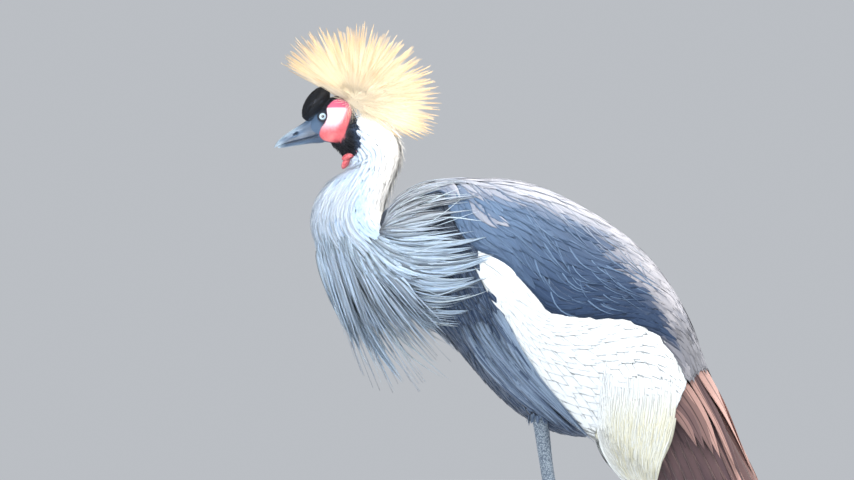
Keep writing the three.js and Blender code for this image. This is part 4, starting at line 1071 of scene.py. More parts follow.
def sprinkle(rng, surface, region, a, b, side, heading, length, half, root, tip, **more):
    """Feathers laid with random draws: the heading from its mean and spread, and length, half width
    and the height of the tip each evenly between two bounds."""
    n = a.size
    return lay(surface, region, a, b, side, rng.normal(*heading, n), rng.uniform(*length, n),
               rng.uniform(*half, n), settle(root, rng.uniform(*tip, n)), **more)


def together(*sets):
    """Sets of feathers put one after the other."""
    return [np.concatenate(parts) for parts in zip(*sets)]


def joined(*sets):
    """Numbers of sets of feathers put one after the other."""
    return {key: np.concatenate([numbers[key] for numbers in sets]) for key in sets[0]}


def picked(keep, *arrays):
    """The same chosen feathers of several arrays."""
    return [array[keep] for array in arrays]


# Feathers of the body, laid from a root under the coat to a tip just above it: how many there are in
# each part, the seeds of their random draws, and the rows in which the white ones lie
COUNTS = {
    "mantle": 600, "rear": 110, "mantle_plumes": 130, "straw": 1700, "straw_base": 46, "belly": 620,
    "breast": 240, "flank": 230, "side_plumes": 820, "strays": 46, "streaks": 300, "ruff": 330,
    "neck": 3000, "neck_tufts": 420, "nape": 1300, "thigh": 300, "cap": 3000, "face": 4200, "throat": 4200,
}
SEEDS = {
    "crest": 7, "crest_down": 8, "back": 11, "white": 31, "straw": 51, "flight": 61, "belly": 71,
    "side_plumes": 91, "ruff": 111, "neck": 131, "thigh": 151, "head": 171,
}
TILES = {"rows": 38, "across": 9, "first": 80, "step": 11.4}


def back_feathers(word, side):
    """Pointed feathers of the mantle and shoulder over the wing: broad, smooth and plain on the side,
    with painted sunlight, pale pink-grey, along the ridge and in a patch near the front, grey at the
    rear, with thin pale plumes laid across them. The side is painted paler towards the ridge and
    darker towards the panel's lower edge, as painted light and shade."""
    seed = SEEDS["back"] + side
    rng = np.random.default_rng(seed)
    s, v = scatter(slate_surface, (-26, 460), (0.0, 0.98), COUNTS["mantle"], seed)
    rear_s, rear_v = scatter(slate_surface, (375, 452), (0.0, 1.0), COUNTS["rear"], seed + 30)
    s, v = np.append(s, rear_s), np.append(v, rear_v)
    length = blend(56, 125, smooth(0, 240, s)) * rng.uniform(0.85, 1.15, s.size)
    length = np.minimum(length, SLATE_END(v)[0] - s - rng.uniform(0, 12, s.size) * smooth(380, 420, s))
    s, v, length = picked(length > 20, s, v, length)
    n = s.size
    half = np.minimum(blend(6, 14, smooth(-10, 240, s)) * rng.uniform(0.85, 1.1, n), length / 5)
    half = half * blend(1.0, 0.62, smooth(370, 410, s))
    _, _, _, across = frame_at(slate_surface, s, v)
    lowest = 1 - 0.8 * half / across
    heading = 0.42 * smooth(170, 20, s) * smooth(0.0, 0.4, v) + rng.normal(0.0, 0.04, n)
    paths, outs, widths, roots = lay(
        slate_surface, "back", s, np.minimum(v, lowest), side, heading, length, half,
        settle(-1.6, rng.uniform(0.3, 0.5, n)), limits=(0.0, lowest), rows=8, bend=-0.2)
    ways = s[:, None] + length[:, None] * np.linspace(0, 1, 8)
    _, _, _, span = frame_at(slate_surface, ways, np.minimum(v, lowest)[:, None])
    plain = paths, outs, np.minimum(widths, 0.9 * (1 - v[:, None]) * span + 5), roots
    reach = s + 0.6 * length
    height = (slate_surface(reach, v) - BREAST) @ UPWARD
    depth = COAT(reach)[0] - height
    # Painted sunlight: a pale stripe along the ridge and a sunlit patch near the front.
    sunlit_ridge = (smooth(64, 44, depth) * smooth(210, 290, reach)
            + 0.8 * smooth(32, 10, depth) * smooth(-20, 40, reach) * smooth(290, 210, reach))
    patch = smooth(1.2, 0.7, np.hypot((reach - 84) / 20, (height - 124) / 11))
    grey = smooth(355, 395, reach) * smooth(6, 16, height - PANEL_LINE(reach)[0])
    plain_set = {
        # Painted light: paler towards the ridge.
        "tone": 0.3 * smooth(190, 20, s) + 0.1 * smooth(1.0, 0.2, v) + rng.normal(0, 0.02, n),
        # Painted sunlight: pink along the ridge and in the patch.
        "sunlit_warmth": np.maximum(0.72 * sunlit_ridge, 0.6 * patch) * rng.uniform(0.6, 1.05, n) * (1 - 0.75 * grey),
        # The rear feathers' own grey, and painted sunlight along the ridge.
        "greyness_and_sunlight": 0.85 * np.maximum(grey, 0.5 * sunlit_ridge),
        # Painted shade towards the panel's lower edge; grey rear feathers darker at random.
        "shade": 0.22 * smooth(0.4, 0.9, v) * smooth(90, 220, s) + 0.45 * grey * rng.random(n) ** 2,
    }

    s, v = scatter(slate_surface, (-6, 290), (0.1, 0.84), COUNTS["mantle_plumes"], seed + 50)
    n = s.size
    plumes = sprinkle(rng, slate_surface, "back", s, v, side, (0.62, 0.16), (50, 105), (0.6, 1.5), -1.0,
                      (1.0, 1.8), rows=8, bend=-0.75, limits=(0.0, 0.99))
    # Painted sunlight on the plumes near the ridge.
    plume_set = {"tone": rng.uniform(0.2, 0.5, n), "sunlit_warmth": 0.4 * smooth(0.45, 0.15, v),
                 "greyness_and_sunlight": np.zeros(n), "shade": np.zeros(n)}
    piece = vanes(f"back_feathers_{word}", *together(plain, plumes), thick=0.2, columns=5, camber=0.04,
                  **joined(plain_set, plume_set))
    return dress(piece, SLATE, (f"scapulars_{word}",))


def white_feathers(word, side):
    """Broad, close, almost smooth white feathers of the folded wing, creamier towards the lower rear.
    They lie in rows like tiles, and none is wider than the room between it and the panel's edge."""
    rng = np.random.default_rng(SEEDS["white"] + side)
    row, place = np.divmod(np.arange(TILES["rows"] * TILES["across"]), TILES["across"])
    s = TILES["first"] + TILES["step"] * row + rng.uniform(-4, 4, row.size)
    v = place + 0.5 * (row % 2) + 0.25 + rng.uniform(-0.15, 0.15, row.size)
    v = np.clip(v / (TILES["across"] + 0.5), 0.03, 0.97)
    length = np.minimum(rng.uniform(88, 112, s.size), WHITE_END(v)[0] - s)
    s, v, length = picked(length > 12, s, v, length)
    n = s.size
    ways = s[:, None] + length[:, None] * np.linspace(0, 1, 9)
    _, _, _, span = frame_at(white_surface, ways, v[:, None] * np.ones(9))
    room = np.minimum(v, 1 - v)[:, None] * span
    half = np.minimum(np.clip(span[:, 0] / 6, 9, 22), 0.6 * length)
    paths, outs, widths, roots = lay(white_surface, "flank", s, v, side, 0.0 * s, length, half,
                                     settle(-2.4, rng.uniform(0.0, 0.05, n)), rows=9)
    widths = np.minimum(widths, 1.05 * room + 1.5)
    cream = smooth(300, 400, s) * smooth(0.25, 0.6, v)
    piece = vanes(f"white_feathers_{word}", paths, outs, widths, roots, thick=0.06, columns=7,
                  camber=0.03, tone=0.6 * cream)
    return dress(piece, WHITE, (f"wing_{word}_coverts",))


STRAW_EDGES = track([
    [229, 180, 198], [252, 153, 202], [282, 129, 207], [319.5, 114, 219], [372, 114, 228], [444, 125, 222],
])
STRAW_LOCKS = 34
STRAW_HANG = -0.62


def straw_plumes(word, side):
    """Hair-like plumes that hang over the lower rear of the white panel: each keeps its share of the
    way between the left and the right edge, and a lock draws together towards its tips. Broad short
    ones lie below them."""
    rng = np.random.default_rng(SEEDS["straw"] + side)
    t = np.linspace(0, 1, 8)

    def hung(x, z, depth, widths):
        """Plumes on the coat through places in the plane of symmetry."""
        s, q = body_places(x, z)
        points, outs = coat_at(s, q, depth, STRAW_HANG)
        return mirrored(points, side), mirrored(outs, side), widths, unwrap("flank", s[:, 0], side * 0.8)

    n = COUNTS["straw"]
    lock = rng.integers(0, STRAW_LOCKS, n)
    lock_row = (np.arange(STRAW_LOCKS) + rng.uniform(0.2, 0.8, STRAW_LOCKS)) / STRAW_LOCKS
    row = np.clip(lock_row[lock] + rng.normal(0, 0.04, n), 0, 1)
    share = row[:, None] + (lock_row[lock] - row)[:, None] * 0.8 * t ** 2
    top = blend(452, 290, rng.random(n) ** 0.6)
    longest = 226 + 120 * np.abs(lock_row - 0.72) ** 1.2 + rng.uniform(0, 22, STRAW_LOCKS)
    bottom = np.minimum(longest[lock] + 80 * rng.random(n) ** 1.6, top - 40)
    z = blend(top[:, None], bottom[:, None], t)
    stray = rng.uniform(0, 14, n)[:, None] * t ** 2 * smooth(0.3, 0.0, share)
    rise_by = rng.uniform(0.3, 1.0, n)[:, None] * smooth(400, 300, z)
    depth = blend(-0.9, rise_by + 0.15, smooth(0.0, 0.5, t))
    radius = rng.uniform(0.8, 1.8, n)[:, None] * leaf(t, 0.5, 0.25)
    fine = hung(blend(*STRAW_EDGES(z), share) + stray, z, depth, radius + 0.04)
    fine_tone = smooth(410, 330, z) * smooth(-0.1, 0.25, share) * rng.uniform(0.3, 1.0, n)[:, None]

    n = COUNTS["straw_base"]
    share = (np.arange(n)[:, None] + 0.5) / n * np.ones(t.size)
    z = blend(rng.uniform(325, 350, n)[:, None], 250 + 100 * np.abs(share - 0.72) ** 1.2, t)
    broad = hung(blend(*STRAW_EDGES(z), share), z, -1.2 + 0.4 * np.sin(7 * share),
                 6.0 * leaf(t, 0.3, 0.8) * np.ones((n, 1)))
    tone = np.concatenate([fine_tone, 0.8 * smooth(400, 320, z)])
    piece = vanes(f"straw_plumes_{word}", *together(fine, broad), thick=0.2, tone=tone)
    return dress(piece, STRAW, (f"wing_{word}_plumes",))


SHORT_ROOTS = track([[0, 446, 126], [0.3, 438, 106], [0.6, 434, 70], [1, 430, 20]])
SHORT_TIPS = track([
    [0, 655, 24], [0.2, 610, 22], [0.3, 596, 30], [0.45, 572, 26], [0.7, 545, 22], [1, 520, 14],
])
SECONDARY_ROOTS = track([[0, 474, 110], [0.5, 462, 52], [1, 440, -24]])
SECONDARY_TIPS = track([
    [0, 684, -6], [0.2, 674, -14], [0.42, 652, -35], [0.64, 622, -56], [0.84, 582, -72], [1, 540, -82],
])
PRIMARY_ROOTS = track([[0, 470, 26], [1, 458, -22]])
PRIMARY_TIPS = track([[0, 640, -62], [0.5, 606, -82], [1, 560, -96]])


def quills(roots, tips, rows, lift, step, width, side, shape=blade):
    """Flight feathers wrapped on the coat from a root line to a tip line, each lower one deeper."""
    row = np.asarray(rows)[:, None]
    t = np.linspace(0, 1, 26)[None]
    (root_s, root_q), (tip_s, tip_q) = roots(row), tips(row)
    s = blend(root_s, tip_s, t)
    turn = blend(turn_at(COAT, root_s, root_q), turn_at(COAT, tip_s, tip_q), t) - 0.12 * np.sin(np.pi * t)
    up, down, half = COAT(s)
    depth = lift + step * np.arange(len(rows))[:, None]
    reach = (up - down) / 2 + depth
    points = in_body(s, (up + down) / 2 + reach * np.cos(turn), (half + depth) * np.sin(turn))
    outs = oval_outward(np.cos(turn), np.sin(turn), reach, half + depth)
    widths = 0.5 * width * shape(t) * np.ones_like(row)
    places = unwrap("back", s[:, 0], side * turn[:, 0] / 3)
    return mirrored(points, side), mirrored(outs, side), widths, places


def flight_feathers(word, side):
    """Long chestnut inner quills: a fan of eleven, the upper ones in painted sunlight, under shorter
    pointed ones, some also in painted sunlight, that end over the rump."""
    rng = np.random.default_rng(SEEDS["flight"] + side)
    long_ones = quills(SECONDARY_ROOTS, SECONDARY_TIPS, np.linspace(0, 1, 11), -9.4, -1.1, 42, side)
    short_rows = np.array([0.0, 0.16, 0.28, 0.45, 0.55, 0.7, 0.84])
    short_width = np.array([[38.0], [15.0], [13.0], [18.0], [24.0], [20.0], [18.0]])
    short_ones = quills(SHORT_ROOTS, SHORT_TIPS, short_rows, -2.5, -0.7, short_width, side, leaf)
    # Painted sunlight: the top long quills and some short ones are sunlit, the others in shade.
    tone = [0.92, 0.3, 0.12, 0.06, 0.03, 0.02, 0.0, 0.0, 0.0, 0.0, 0.0]
    short_sunlit = [0.95, 0.05, 0.8, 0.75, 0.3, 0.15, 0.4]
    tone = np.array(tone + short_sunlit) + rng.normal(0, 0.03, 18)
    piece = vanes(f"flight_feathers_{word}", *together(long_ones, short_ones), thick=0.9, columns=9,
                  camber=0.03, tone=tone)
    return dress(piece, CHESTNUT, (f"wing_{word}_secondaries",))


def primary_feathers(word, side):
    """Black outer quills that show below the chestnut ones."""
    laid = quills(PRIMARY_ROOTS, PRIMARY_TIPS, np.linspace(0, 1, 6), -28, -1.1, 24, side)
    piece = vanes(f"primary_feathers_{word}", *laid, thick=0.9, columns=7, camber=0.03)
    return dress(piece, QUILL_BLACK, (f"wing_{word}_primaries",))


TAIL = {"feathers": 12, "root": (488, 15), "tip": (664, -14), "width": 22, "fan": 2.6, "rise": 1.1}


def tail_feathers():
    """Tail stacked from the middle feather on top outwards to right and left in turn."""
    i = np.arange(TAIL["feathers"])
    fan = (TAIL["fan"] * np.where(i % 2 == 0, i, -i - 1))[:, None]
    t = np.linspace(0, 1, 22)[None]
    s = blend(TAIL["root"][0], TAIL["tip"][0] - 1.2 * i[:, None], t)
    q = blend(TAIL["root"][1], TAIL["tip"][1], t) - TAIL["rise"] * (i[:, None] - 5)
    points = in_body(s, q, blend(0.3, 0.5, t) * fan)
    outs = np.broadcast_to(UPWARD, points.shape)
    roots = unwrap("back", s[:, 0], fan[:, 0] / 60)
    piece = vanes("tail_feathers", points, outs, 0.5 * TAIL["width"] * blade(t), roots, thick=0.9,
                  columns=7, camber=0.05)
    return dress(piece, QUILL_BLACK, ("tail",))


PLUME_ROWS = 9
WIDTH_KEPT = 0.92


def guided(side, guides, count, clumps, seed, start, reach, jitter, lift, stop=(1.0, 1.0)):
    """Plumes along curves drawn in the plane of symmetry. A guide runs through a, b at half way and
    c; each clump has its place between the guides, and its plumes draw together towards their tips,
    most of them ending at the share stop of the way. They lie beside the body, and where that ends
    each point keeps a share of the width of the one before. Gives paths, outward directions and each
    plume's place between the guides."""
    rng = np.random.default_rng(seed)
    last = len(guides) - 1.001
    clump = rng.integers(0, clumps, count)
    place = last * (np.arange(clumps) + rng.uniform(0.1, 0.9, clumps)) / clumps
    begin = np.maximum(rng.uniform(*start, clumps)[clump] + rng.normal(0, 0.05, count), start[0])
    begin = np.where(place[clump] < last / 2, np.maximum(begin, 0), begin)
    far = np.where(rng.random(clumps) < 0.15, 1.0, np.interp(place, np.linspace(0, last, len(stop)), stop))
    end = np.minimum(begin + rng.uniform(*reach, count), (far * rng.uniform(0.88, 1.06, clumps))[clump])
    begin = np.minimum(begin, end - 0.25)
    k = np.linspace(0, 1, PLUME_ROWS)[None]
    t = blend(begin[:, None], end[:, None], k)[..., None]
    loose = rng.normal(0, jitter, count)[:, None] * (1 - 0.85 * k ** 1.5)
    spot = np.clip(place[clump][:, None] + loose, 0, last)
    i = spot.astype(int)
    guide = blend(guides[i], guides[i + 1], (spot - i)[..., None, None])
    a, b, c = (guide[:, :, m] for m in range(3))
    b = b + rng.normal(0, 3.5, (clumps, 2))[clump][:, None]
    flat = a * (2 * t - 1) * (t - 1) + 4 * b * t * (1 - t) + c * t * (2 * t - 1)
    width, outs = beside(flat[..., 0], flat[..., 1])
    for m in range(1, PLUME_ROWS):
        width[:, m] = np.maximum(width[:, m], WIDTH_KEPT * width[:, m - 1])
    rise_by = blend(lift[0], rng.uniform(lift[1], lift[2], count)[:, None], smooth(0, 0.45, k))
    points = np.stack([flat[..., 0], width, flat[..., 1]], -1) + outs * rise_by[..., None]
    return mirrored(points, side), mirrored(outs, side), spot[:, 0]


FLANK_GUIDES = np.array([
    [[-52, 528], [-17, 475], [2, 421]], [[-60, 518], [-4, 429], [98, 330]],
    [[-76, 510], [-22, 424], [85, 322]], [[-90, 502], [-44, 424], [44, 344]],
    [[-95, 496], [-60, 437], [4, 368]],
], float)


def belly_feathers(word, side):
    """Grey feathers of the belly and breast, and long narrow ones that sweep down the flank below the
    white."""
    seed = SEEDS["belly"] + side
    rng = np.random.default_rng(seed)
    s, v = scatter(belly_surface, (-42, 345), (0.0, 1.0), COUNTS["belly"], seed)
    n = s.size
    length = blend(42, 68, smooth(0, 250, s)) * rng.uniform(0.85, 1.15, n)
    length = np.minimum(length, 400 - s)
    half = blend(7, 10, smooth(0, 250, s)) * rng.uniform(0.85, 1.1, n)
    under = lay(belly_surface, "belly", s, v, side, rng.normal(0, 0.1, n), length, half,
                settle(-3.4, rng.uniform(0.2, 1.0, n)), limits=(-0.02, 1.0), rows=9)
    under_set = {
        "tone": rng.normal(0.06, 0.04, n),
        # Painted shade: darker at the front under the plumes and towards the belly's middle line.
        "shade": 0.3 + 0.45 * smooth(90, -20, s) + 0.25 * smooth(0.5, 1.0, v),
    }

    s, v = scatter(white_surface, (-30, 110), (0.0, 1.0), COUNTS["breast"], seed + 9)
    n = s.size
    breast = lay(white_surface, "flank", s, v, side, rng.normal(0, 0.12, n), rng.uniform(40, 60, n),
                 rng.uniform(6.5, 9, n),
                 settle(-4.6, blend(rng.uniform(-1.6, -0.8, n), -4.2, smooth(30, 58, s))),
                 limits=(-0.02, 1.02), rows=9)
    # Painted shade: darker at the front under the plumes.
    breast_set = {"tone": rng.normal(0.14, 0.05, n), "shade": 0.3 + 0.55 * smooth(85, 30, s)}

    n = COUNTS["flank"]
    paths, outs, _ = guided(side, FLANK_GUIDES, n, 60, seed + 20, (0.0, 0.45), (0.5, 0.7), 0.26,
                            (-4.0, 1.0, 4.0))
    widths = rng.uniform(2.6, 4.6, n)[:, None] * leaf(np.linspace(0, 1, PLUME_ROWS), 0.4, 0.6, 1.6)
    flank = (paths, outs, widths, unwrap("flank", paths[:, 0, 0] + 180, side * np.ones(n)))
    flank_set = {"tone": rng.uniform(0.05, 0.55, n), "shade": 0.3 * smooth(480, 340, paths[:, 0, 2])}

    piece = vanes(f"belly_feathers_{word}", *together(under, breast, flank),
                  **joined(under_set, breast_set, flank_set))
    return dress(piece, BODY)


PLUME_GUIDES = np.array([
    [[-208, 634], [-162, 688], [-80, 702]], [[-208, 632], [-152, 664], [-62, 682]],
    [[-210, 629], [-146, 640], [-54, 654]], [[-216, 625], [-150, 606], [-42, 622]],
    [[-224, 622], [-158, 584], [-50, 592]], [[-230, 622], [-154, 567], [-50, 576]],
    [[-236, 622], [-166, 548], [-48, 556]], [[-244, 620], [-168, 521], [-45, 522]],
    [[-250, 613], [-190, 524], [-76, 476]], [[-253, 613], [-196, 526], [-78, 453]],
    [[-259, 613], [-203, 522], [-101, 436]], [[-265, 613], [-213, 517], [-112, 412]],
    [[-274, 613], [-227, 508], [-145, 391]], [[-283, 613], [-246, 503], [-185, 374]],
    [[-291, 613], [-264, 508], [-222, 388]], [[-299, 613], [-283, 536], [-249, 465]],
    [[-306, 613], [-297, 565], [-274, 496]],
], float)
PLUME_STOP = [1.0, 1.0, 1.0, 1.0, 1.0, 1.0, 1.0, 0.98, 0.88, 0.72, 0.66, 0.64, 0.64, 0.66, 0.72, 0.9, 1.0]


def side_plumes(side):
    """Long plumes of the breast's side: they hang on the left and turn back over the shoulder on the
    right, fanning out of the fold between neck and back. A few thin loose ones stray across them."""
    seed, count, n = SEEDS["side_plumes"] + side, COUNTS["side_plumes"], COUNTS["strays"]
    rng = np.random.default_rng(seed)
    paths, outs, place = guided(side, PLUME_GUIDES, count, 120, seed, (-0.16, 0.42), (0.45, 0.8), 0.2,
                                (-3.0, 0.5, 5.0), PLUME_STOP)
    k = np.linspace(0, 1, PLUME_ROWS)
    hanging = smooth(6.5, 9.5, place)
    widths = rng.uniform(1.8, 3.1, count) * blend(1.0, 0.75, hanging)
    widths = (widths * blend(0.6, 1.0, smooth(0.5, 3, place)))[:, None] * leaf(k, 0.38, 0.5, 0.7)
    mantle = smooth(3.2, 1.4, place)
    stray_paths, stray_outs, _ = guided(side, PLUME_GUIDES, n, n, seed + 5, (0.3, 0.6), (0.35, 0.5),
                                        0.5, (0.0, 3.0, 6.0))
    stray_widths = rng.uniform(0.6, 1.1, n)[:, None] * leaf(k, 0.4, 0.6)
    laid = together((paths, outs, widths), (stray_paths, stray_outs, stray_widths))
    roots = unwrap("flank", laid[0][:, 0, 0] + 180, side * 0.5 * np.ones(count + n))
    numbers = {
        "tone": np.append(0.1 * mantle + rng.normal(0.08, 0.07, count), rng.uniform(0.2, 0.6, n)),
        # Painted sunlight, pink and grey, on the plumes by the mantle.
        "sunlit_warmth": np.append(0.5 * mantle * rng.random(count), np.zeros(n)),
        "greyness_and_sunlight": np.append(0.3 * mantle, np.zeros(n)),
        # Painted shade: plumes darkened at random stand in for the gaps between them.
        "shade": np.append(blend(0.8, 0.85, mantle) * rng.random(count) ** 2, np.zeros(n)),
    }
    return (*laid, roots), numbers


RUFF = track([
    [6.4, 10, 60], [7.4, 22, 118], [8.4, 50, 160], [9.4, 78, 214], [10.5, 112, 205], [11.6, 134, 150],
    [12.6, 122, 100], [13.4, 110, 80],
])


def ruff_plumes(side):
    """Narrow pointed plumes of the lower neck. The high ones lie down its front as streaks, and the
    others leave it and hang down: most of them end early, and a few reach the lowest tips."""
    rng = np.random.default_rng(SEEDS["ruff"] + side)
    n = COUNTS["streaks"]
    station = blend(4.6, 9.2, rng.random(n) ** 0.8)
    turn = np.radians(98) * rng.random(n)
    streaks = sprinkle(rng, neck_surface, "neck", station, turn, side, (0, 0.04), (48, 88), (1.5, 2.4),
                       -1.2, (0.8, 2.6), rows=9, outward=-1)
    streak_tone = 0.2 * smooth(9, 5, station) + rng.normal(0.1, 0.08, n)
    # Painted shade: streaks darkened at random stand in for the gaps between them.
    streak_shade = 0.35 * rng.random(n) ** 2 * smooth(4.5, 8, station)

    count = COUNTS["ruff"]
    station = blend(7.4, 13.2, rng.random(count))
    degrees = 76 * rng.random(count)
    angle = np.radians(degrees)
    back, down = RUFF(station)
    share = np.where(rng.random(count) < 0.15, 1.0, rng.uniform(0.45, 0.78, count)) * (1 - 0.0036 * degrees)
    root = neck_surface(station, angle, -4.0)
    leave = neck_surface(np.minimum(station + 0.6, 14), angle, rng.uniform(0.3, 2, count))
    outward = unit(neck_surface(station, angle, 1.0) - neck_surface(station, angle, 0.0))
    tip = neck_surface(station, angle, rng.uniform(1, 4, count)) + np.stack(
        [back * share, 7 * np.sin(angle), -down * share], -1)
    near_tip = blend(leave, tip, 0.5) + outward * rng.uniform(1, 3, count)[:, None]
    paths = bezier((root, leave, near_tip, tip), 9)
    outs = np.broadcast_to(outward[:, None], paths.shape)
    widths = rng.uniform(1.6, 2.7, count)[:, None] * leaf(np.linspace(0, 1, 9), 0.38, 0.5, 0.7)
    hung = (mirrored(paths, side), mirrored(outs, side), widths, unwrap("neck", station, side * angle))
    numbers = {
        "tone": np.append(streak_tone, rng.normal(0.06, 0.06, count)),
        # Painted shade: hanging plumes darkened at random stand in for the gaps between them.
        "shade": np.append(streak_shade, 0.8 * rng.random(count) ** 1.8 * smooth(7.2, 9.6, station)),
    }
    return together(streaks, hung), numbers


def breast_plumes():
    """Ruff and side plumes, a piece of each on each side."""
    for word, side in SIDES.items():
        laid, numbers = ruff_plumes(side)
        dress(vanes(f"ruff_plumes_{word}", *laid, camber=0.15, **numbers), RUFF_SOFT)
        laid, numbers = side_plumes(side)
        dress(vanes(f"breast_plumes_{word}", *laid, camber=0.2, **numbers), PLUME)


def neck_feathers():
    """Soft close feathers down the neck, pale blue-grey, turned white on the nape by painted sunlight,
    with loose tufts that stand out along the nape and the front of the throat."""
    rng = np.random.default_rng(SEEDS["neck"])
    station, turn = scatter(neck_surface, (0.3, 9.8), ALL_ROUND, COUNTS["neck"], 3)
    keep = rng.random(station.size) > black_share(neck_surface(station, turn))
    keep &= rng.random(station.size) < smooth(9.9, 7.6, station)
    station, turn = picked(keep, station, turn)
    n = station.size
    low = smooth(4, 8, station)
    # Painted sunlight: the share of white on the nape.
    nape = smooth(blend(0.05, -0.45, low), blend(-0.85, -0.98, low), np.cos(turn)) * smooth(11, 7.5, station)
    length = blend(15, 44, smooth(0.5, 7, station)) * rng.uniform(0.9, 1.1, n)
    close = lay(neck_surface, "neck", station, turn, 1, rng.normal(0, 0.03, n), length,
                rng.uniform(3.4, 4.6, n), settle(-0.3, rng.uniform(0.0, 0.05, n)), rows=5, outward=-1)
    tone = nape * 0.95 + 0.3 * smooth(6, 2, station) + rng.normal(0.02, 0.04, n)

    n = COUNTS["neck_tufts"]
    station = rng.uniform(1.4, 7.8, n)
    front = rng.random(n) < 0.3
    turn = np.where(front, rng.normal(0, 0.3, n), np.pi + rng.normal(0, 0.16, n))
    station = np.where(front, 4.4 + (station - 1.4) * 0.6, station)
    loose = lay(neck_surface, "neck", station, turn, 1, rng.normal(0, 0.1, n), rng.uniform(16, 30, n),
                rng.uniform(1.4, 2.6, n),
                settle(-1.0, np.where(front, 4.0, 9.0) * rng.uniform(0.2, 1.0, n), 1.3), rows=5, outward=-1)
    # Painted sunlight: the tufts on the nape are white.
    loose_tone = np.where(front, 0.3, 1.0) + rng.normal(0, 0.05, n)

    f, turn = scatter(skull_surface, (-40.5, 10), ALL_ROUND, COUNTS["nape"], 5)
    keep = rng.random(f.size) > black_share(skull_surface(f, turn))
    f, turn = picked(keep, f, turn)
    rear = sprinkle(rng, skull_surface, "head", f, turn, 1, (np.pi, 0.2), (8, 13), (1.6, 2.4), -0.6,
                    (0.0, 0.2), rows=5, outward=-1)
    piece = vanes("neck_feathers", *together(close, loose, rear), thick=0.12, camber=0.03,
                  tone=np.concatenate([tone, loose_tone, np.full(f.size, 0.9)]))
    return dress(piece, NECK_SOFT)


def thigh_feathers():
    """Soft grey feathers down both thighs."""
    sets, tones = [], []
    for side in SIDES.values():
        rng = np.random.default_rng(SEEDS["thigh"] + side)
        down, turn = scatter(thigh_surface, (4, 92), ALL_ROUND, COUNTS["thigh"], 7 + side)
        sets.append(sprinkle(rng, thigh_surface, "thigh", down, turn, side, (0, 0.1), (20, 32), (4, 6), -2.6,
                             (0.2, 1.4)))
        tones.append(rng.normal(0.15, 0.08, down.size))
    piece = vanes("thigh_feathers", *together(*sets), tone=np.concatenate(tones))
    return dress(piece, BODY)


def head_feathers():
    """Velvet of the forehead cap and the short black feathers of the face and throat, with a painted
    blue sheen low on the throat.
    """
    rng = np.random.default_rng(SEEDS["head"])
    a, turn = scatter(cap_surface, (0.1, np.pi - 0.1), ALL_ROUND, COUNTS["cap"], 9)
    cap = sprinkle(rng, cap_surface, "cap", a, turn, 1, (0, 0.35), (2.6, 4.4), (0.4, 0.7), -0.4,
                   (0.5, 1.3), rows=3)

    f, turn = scatter(skull_surface, (-38, 40), ALL_ROUND, COUNTS["face"], 11)
    base = skull_surface(f, turn)
    around, up = head_places(base)
    bare = cheek_depth(around, up) > -0.6
    bare |= np.hypot(around - EYE["f"], up - EYE["g"]) < 9.0
    bare |= (around > 27) & (up < LORE_TOP(around)[0])
    keep = (rng.random(f.size) < black_share(base)) & ~bare
    f, turn = picked(keep, f, turn)
    face = sprinkle(rng, skull_surface, "head", f, turn, 1, (np.pi, 0.2), (4, 6.5), (0.6, 1.0), -0.4,
                    (0.4, 1.0), rows=3, outward=-1)

    station, turn = scatter(neck_surface, (0.3, 5), ALL_ROUND, COUNTS["throat"], 13)
    base = neck_surface(station, turn)
    keep = (rng.random(station.size) < black_share(base)) & (throat_red(base) < 0.5)
    keep &= cheek_depth(*head_places(base)) < -1.0
    station, turn = picked(keep, station, turn)
    throat = sprinkle(rng, neck_surface, "neck", station, turn, 1, (0, 0.12), (7, 12), (0.9, 1.5), -3.4,
                      (-0.4, 0.8), rows=3, outward=-1)
    around, up = head_places(base[keep])
    # Painted sheen: blue-grey low on the throat, by the border.
    blue = smooth(16, 4, around - HEAD_BORDER(up)[0]) * smooth(-8, -24, up)
    tone = np.concatenate([np.zeros(len(cap[0])), np.full(len(face[0]), 0.06), 0.06 + 0.85 * blue])
    piece = vanes("head_feathers", *together(cap, face, throat), thick=0.25, tone=tone)
    return dress(piece, VELVET)


# Crest
def inside(surfaces, spots, margin):
    """True for spots within the surfaces: each is compared with the nearest surface point, counting
    as inside when it lies less than a margin beyond it along its outward direction."""
    points, outs = surfaces
    away = spots[:, None] - points[None]
    nearest = (away ** 2).sum(-1).argmin(1)
    rows = np.arange(len(spots))
    return (away[rows, nearest] * outs[nearest]).sum(-1) < margin


def cloud(surface, span, outward):
    """Surface points and outward directions on a grid."""
    a = np.repeat(np.linspace(*span, 50), 40)
    b = np.tile(full_turn(40), 50)
    point, out, _, _ = frame_at(surface, a, b)
    return point, out * outward


def side_angle(ways):
    """Angle of ways seen from the side, in degrees up from straight back."""
    return np.degrees(np.arctan2(ways[:, 2], ways[:, 0]))


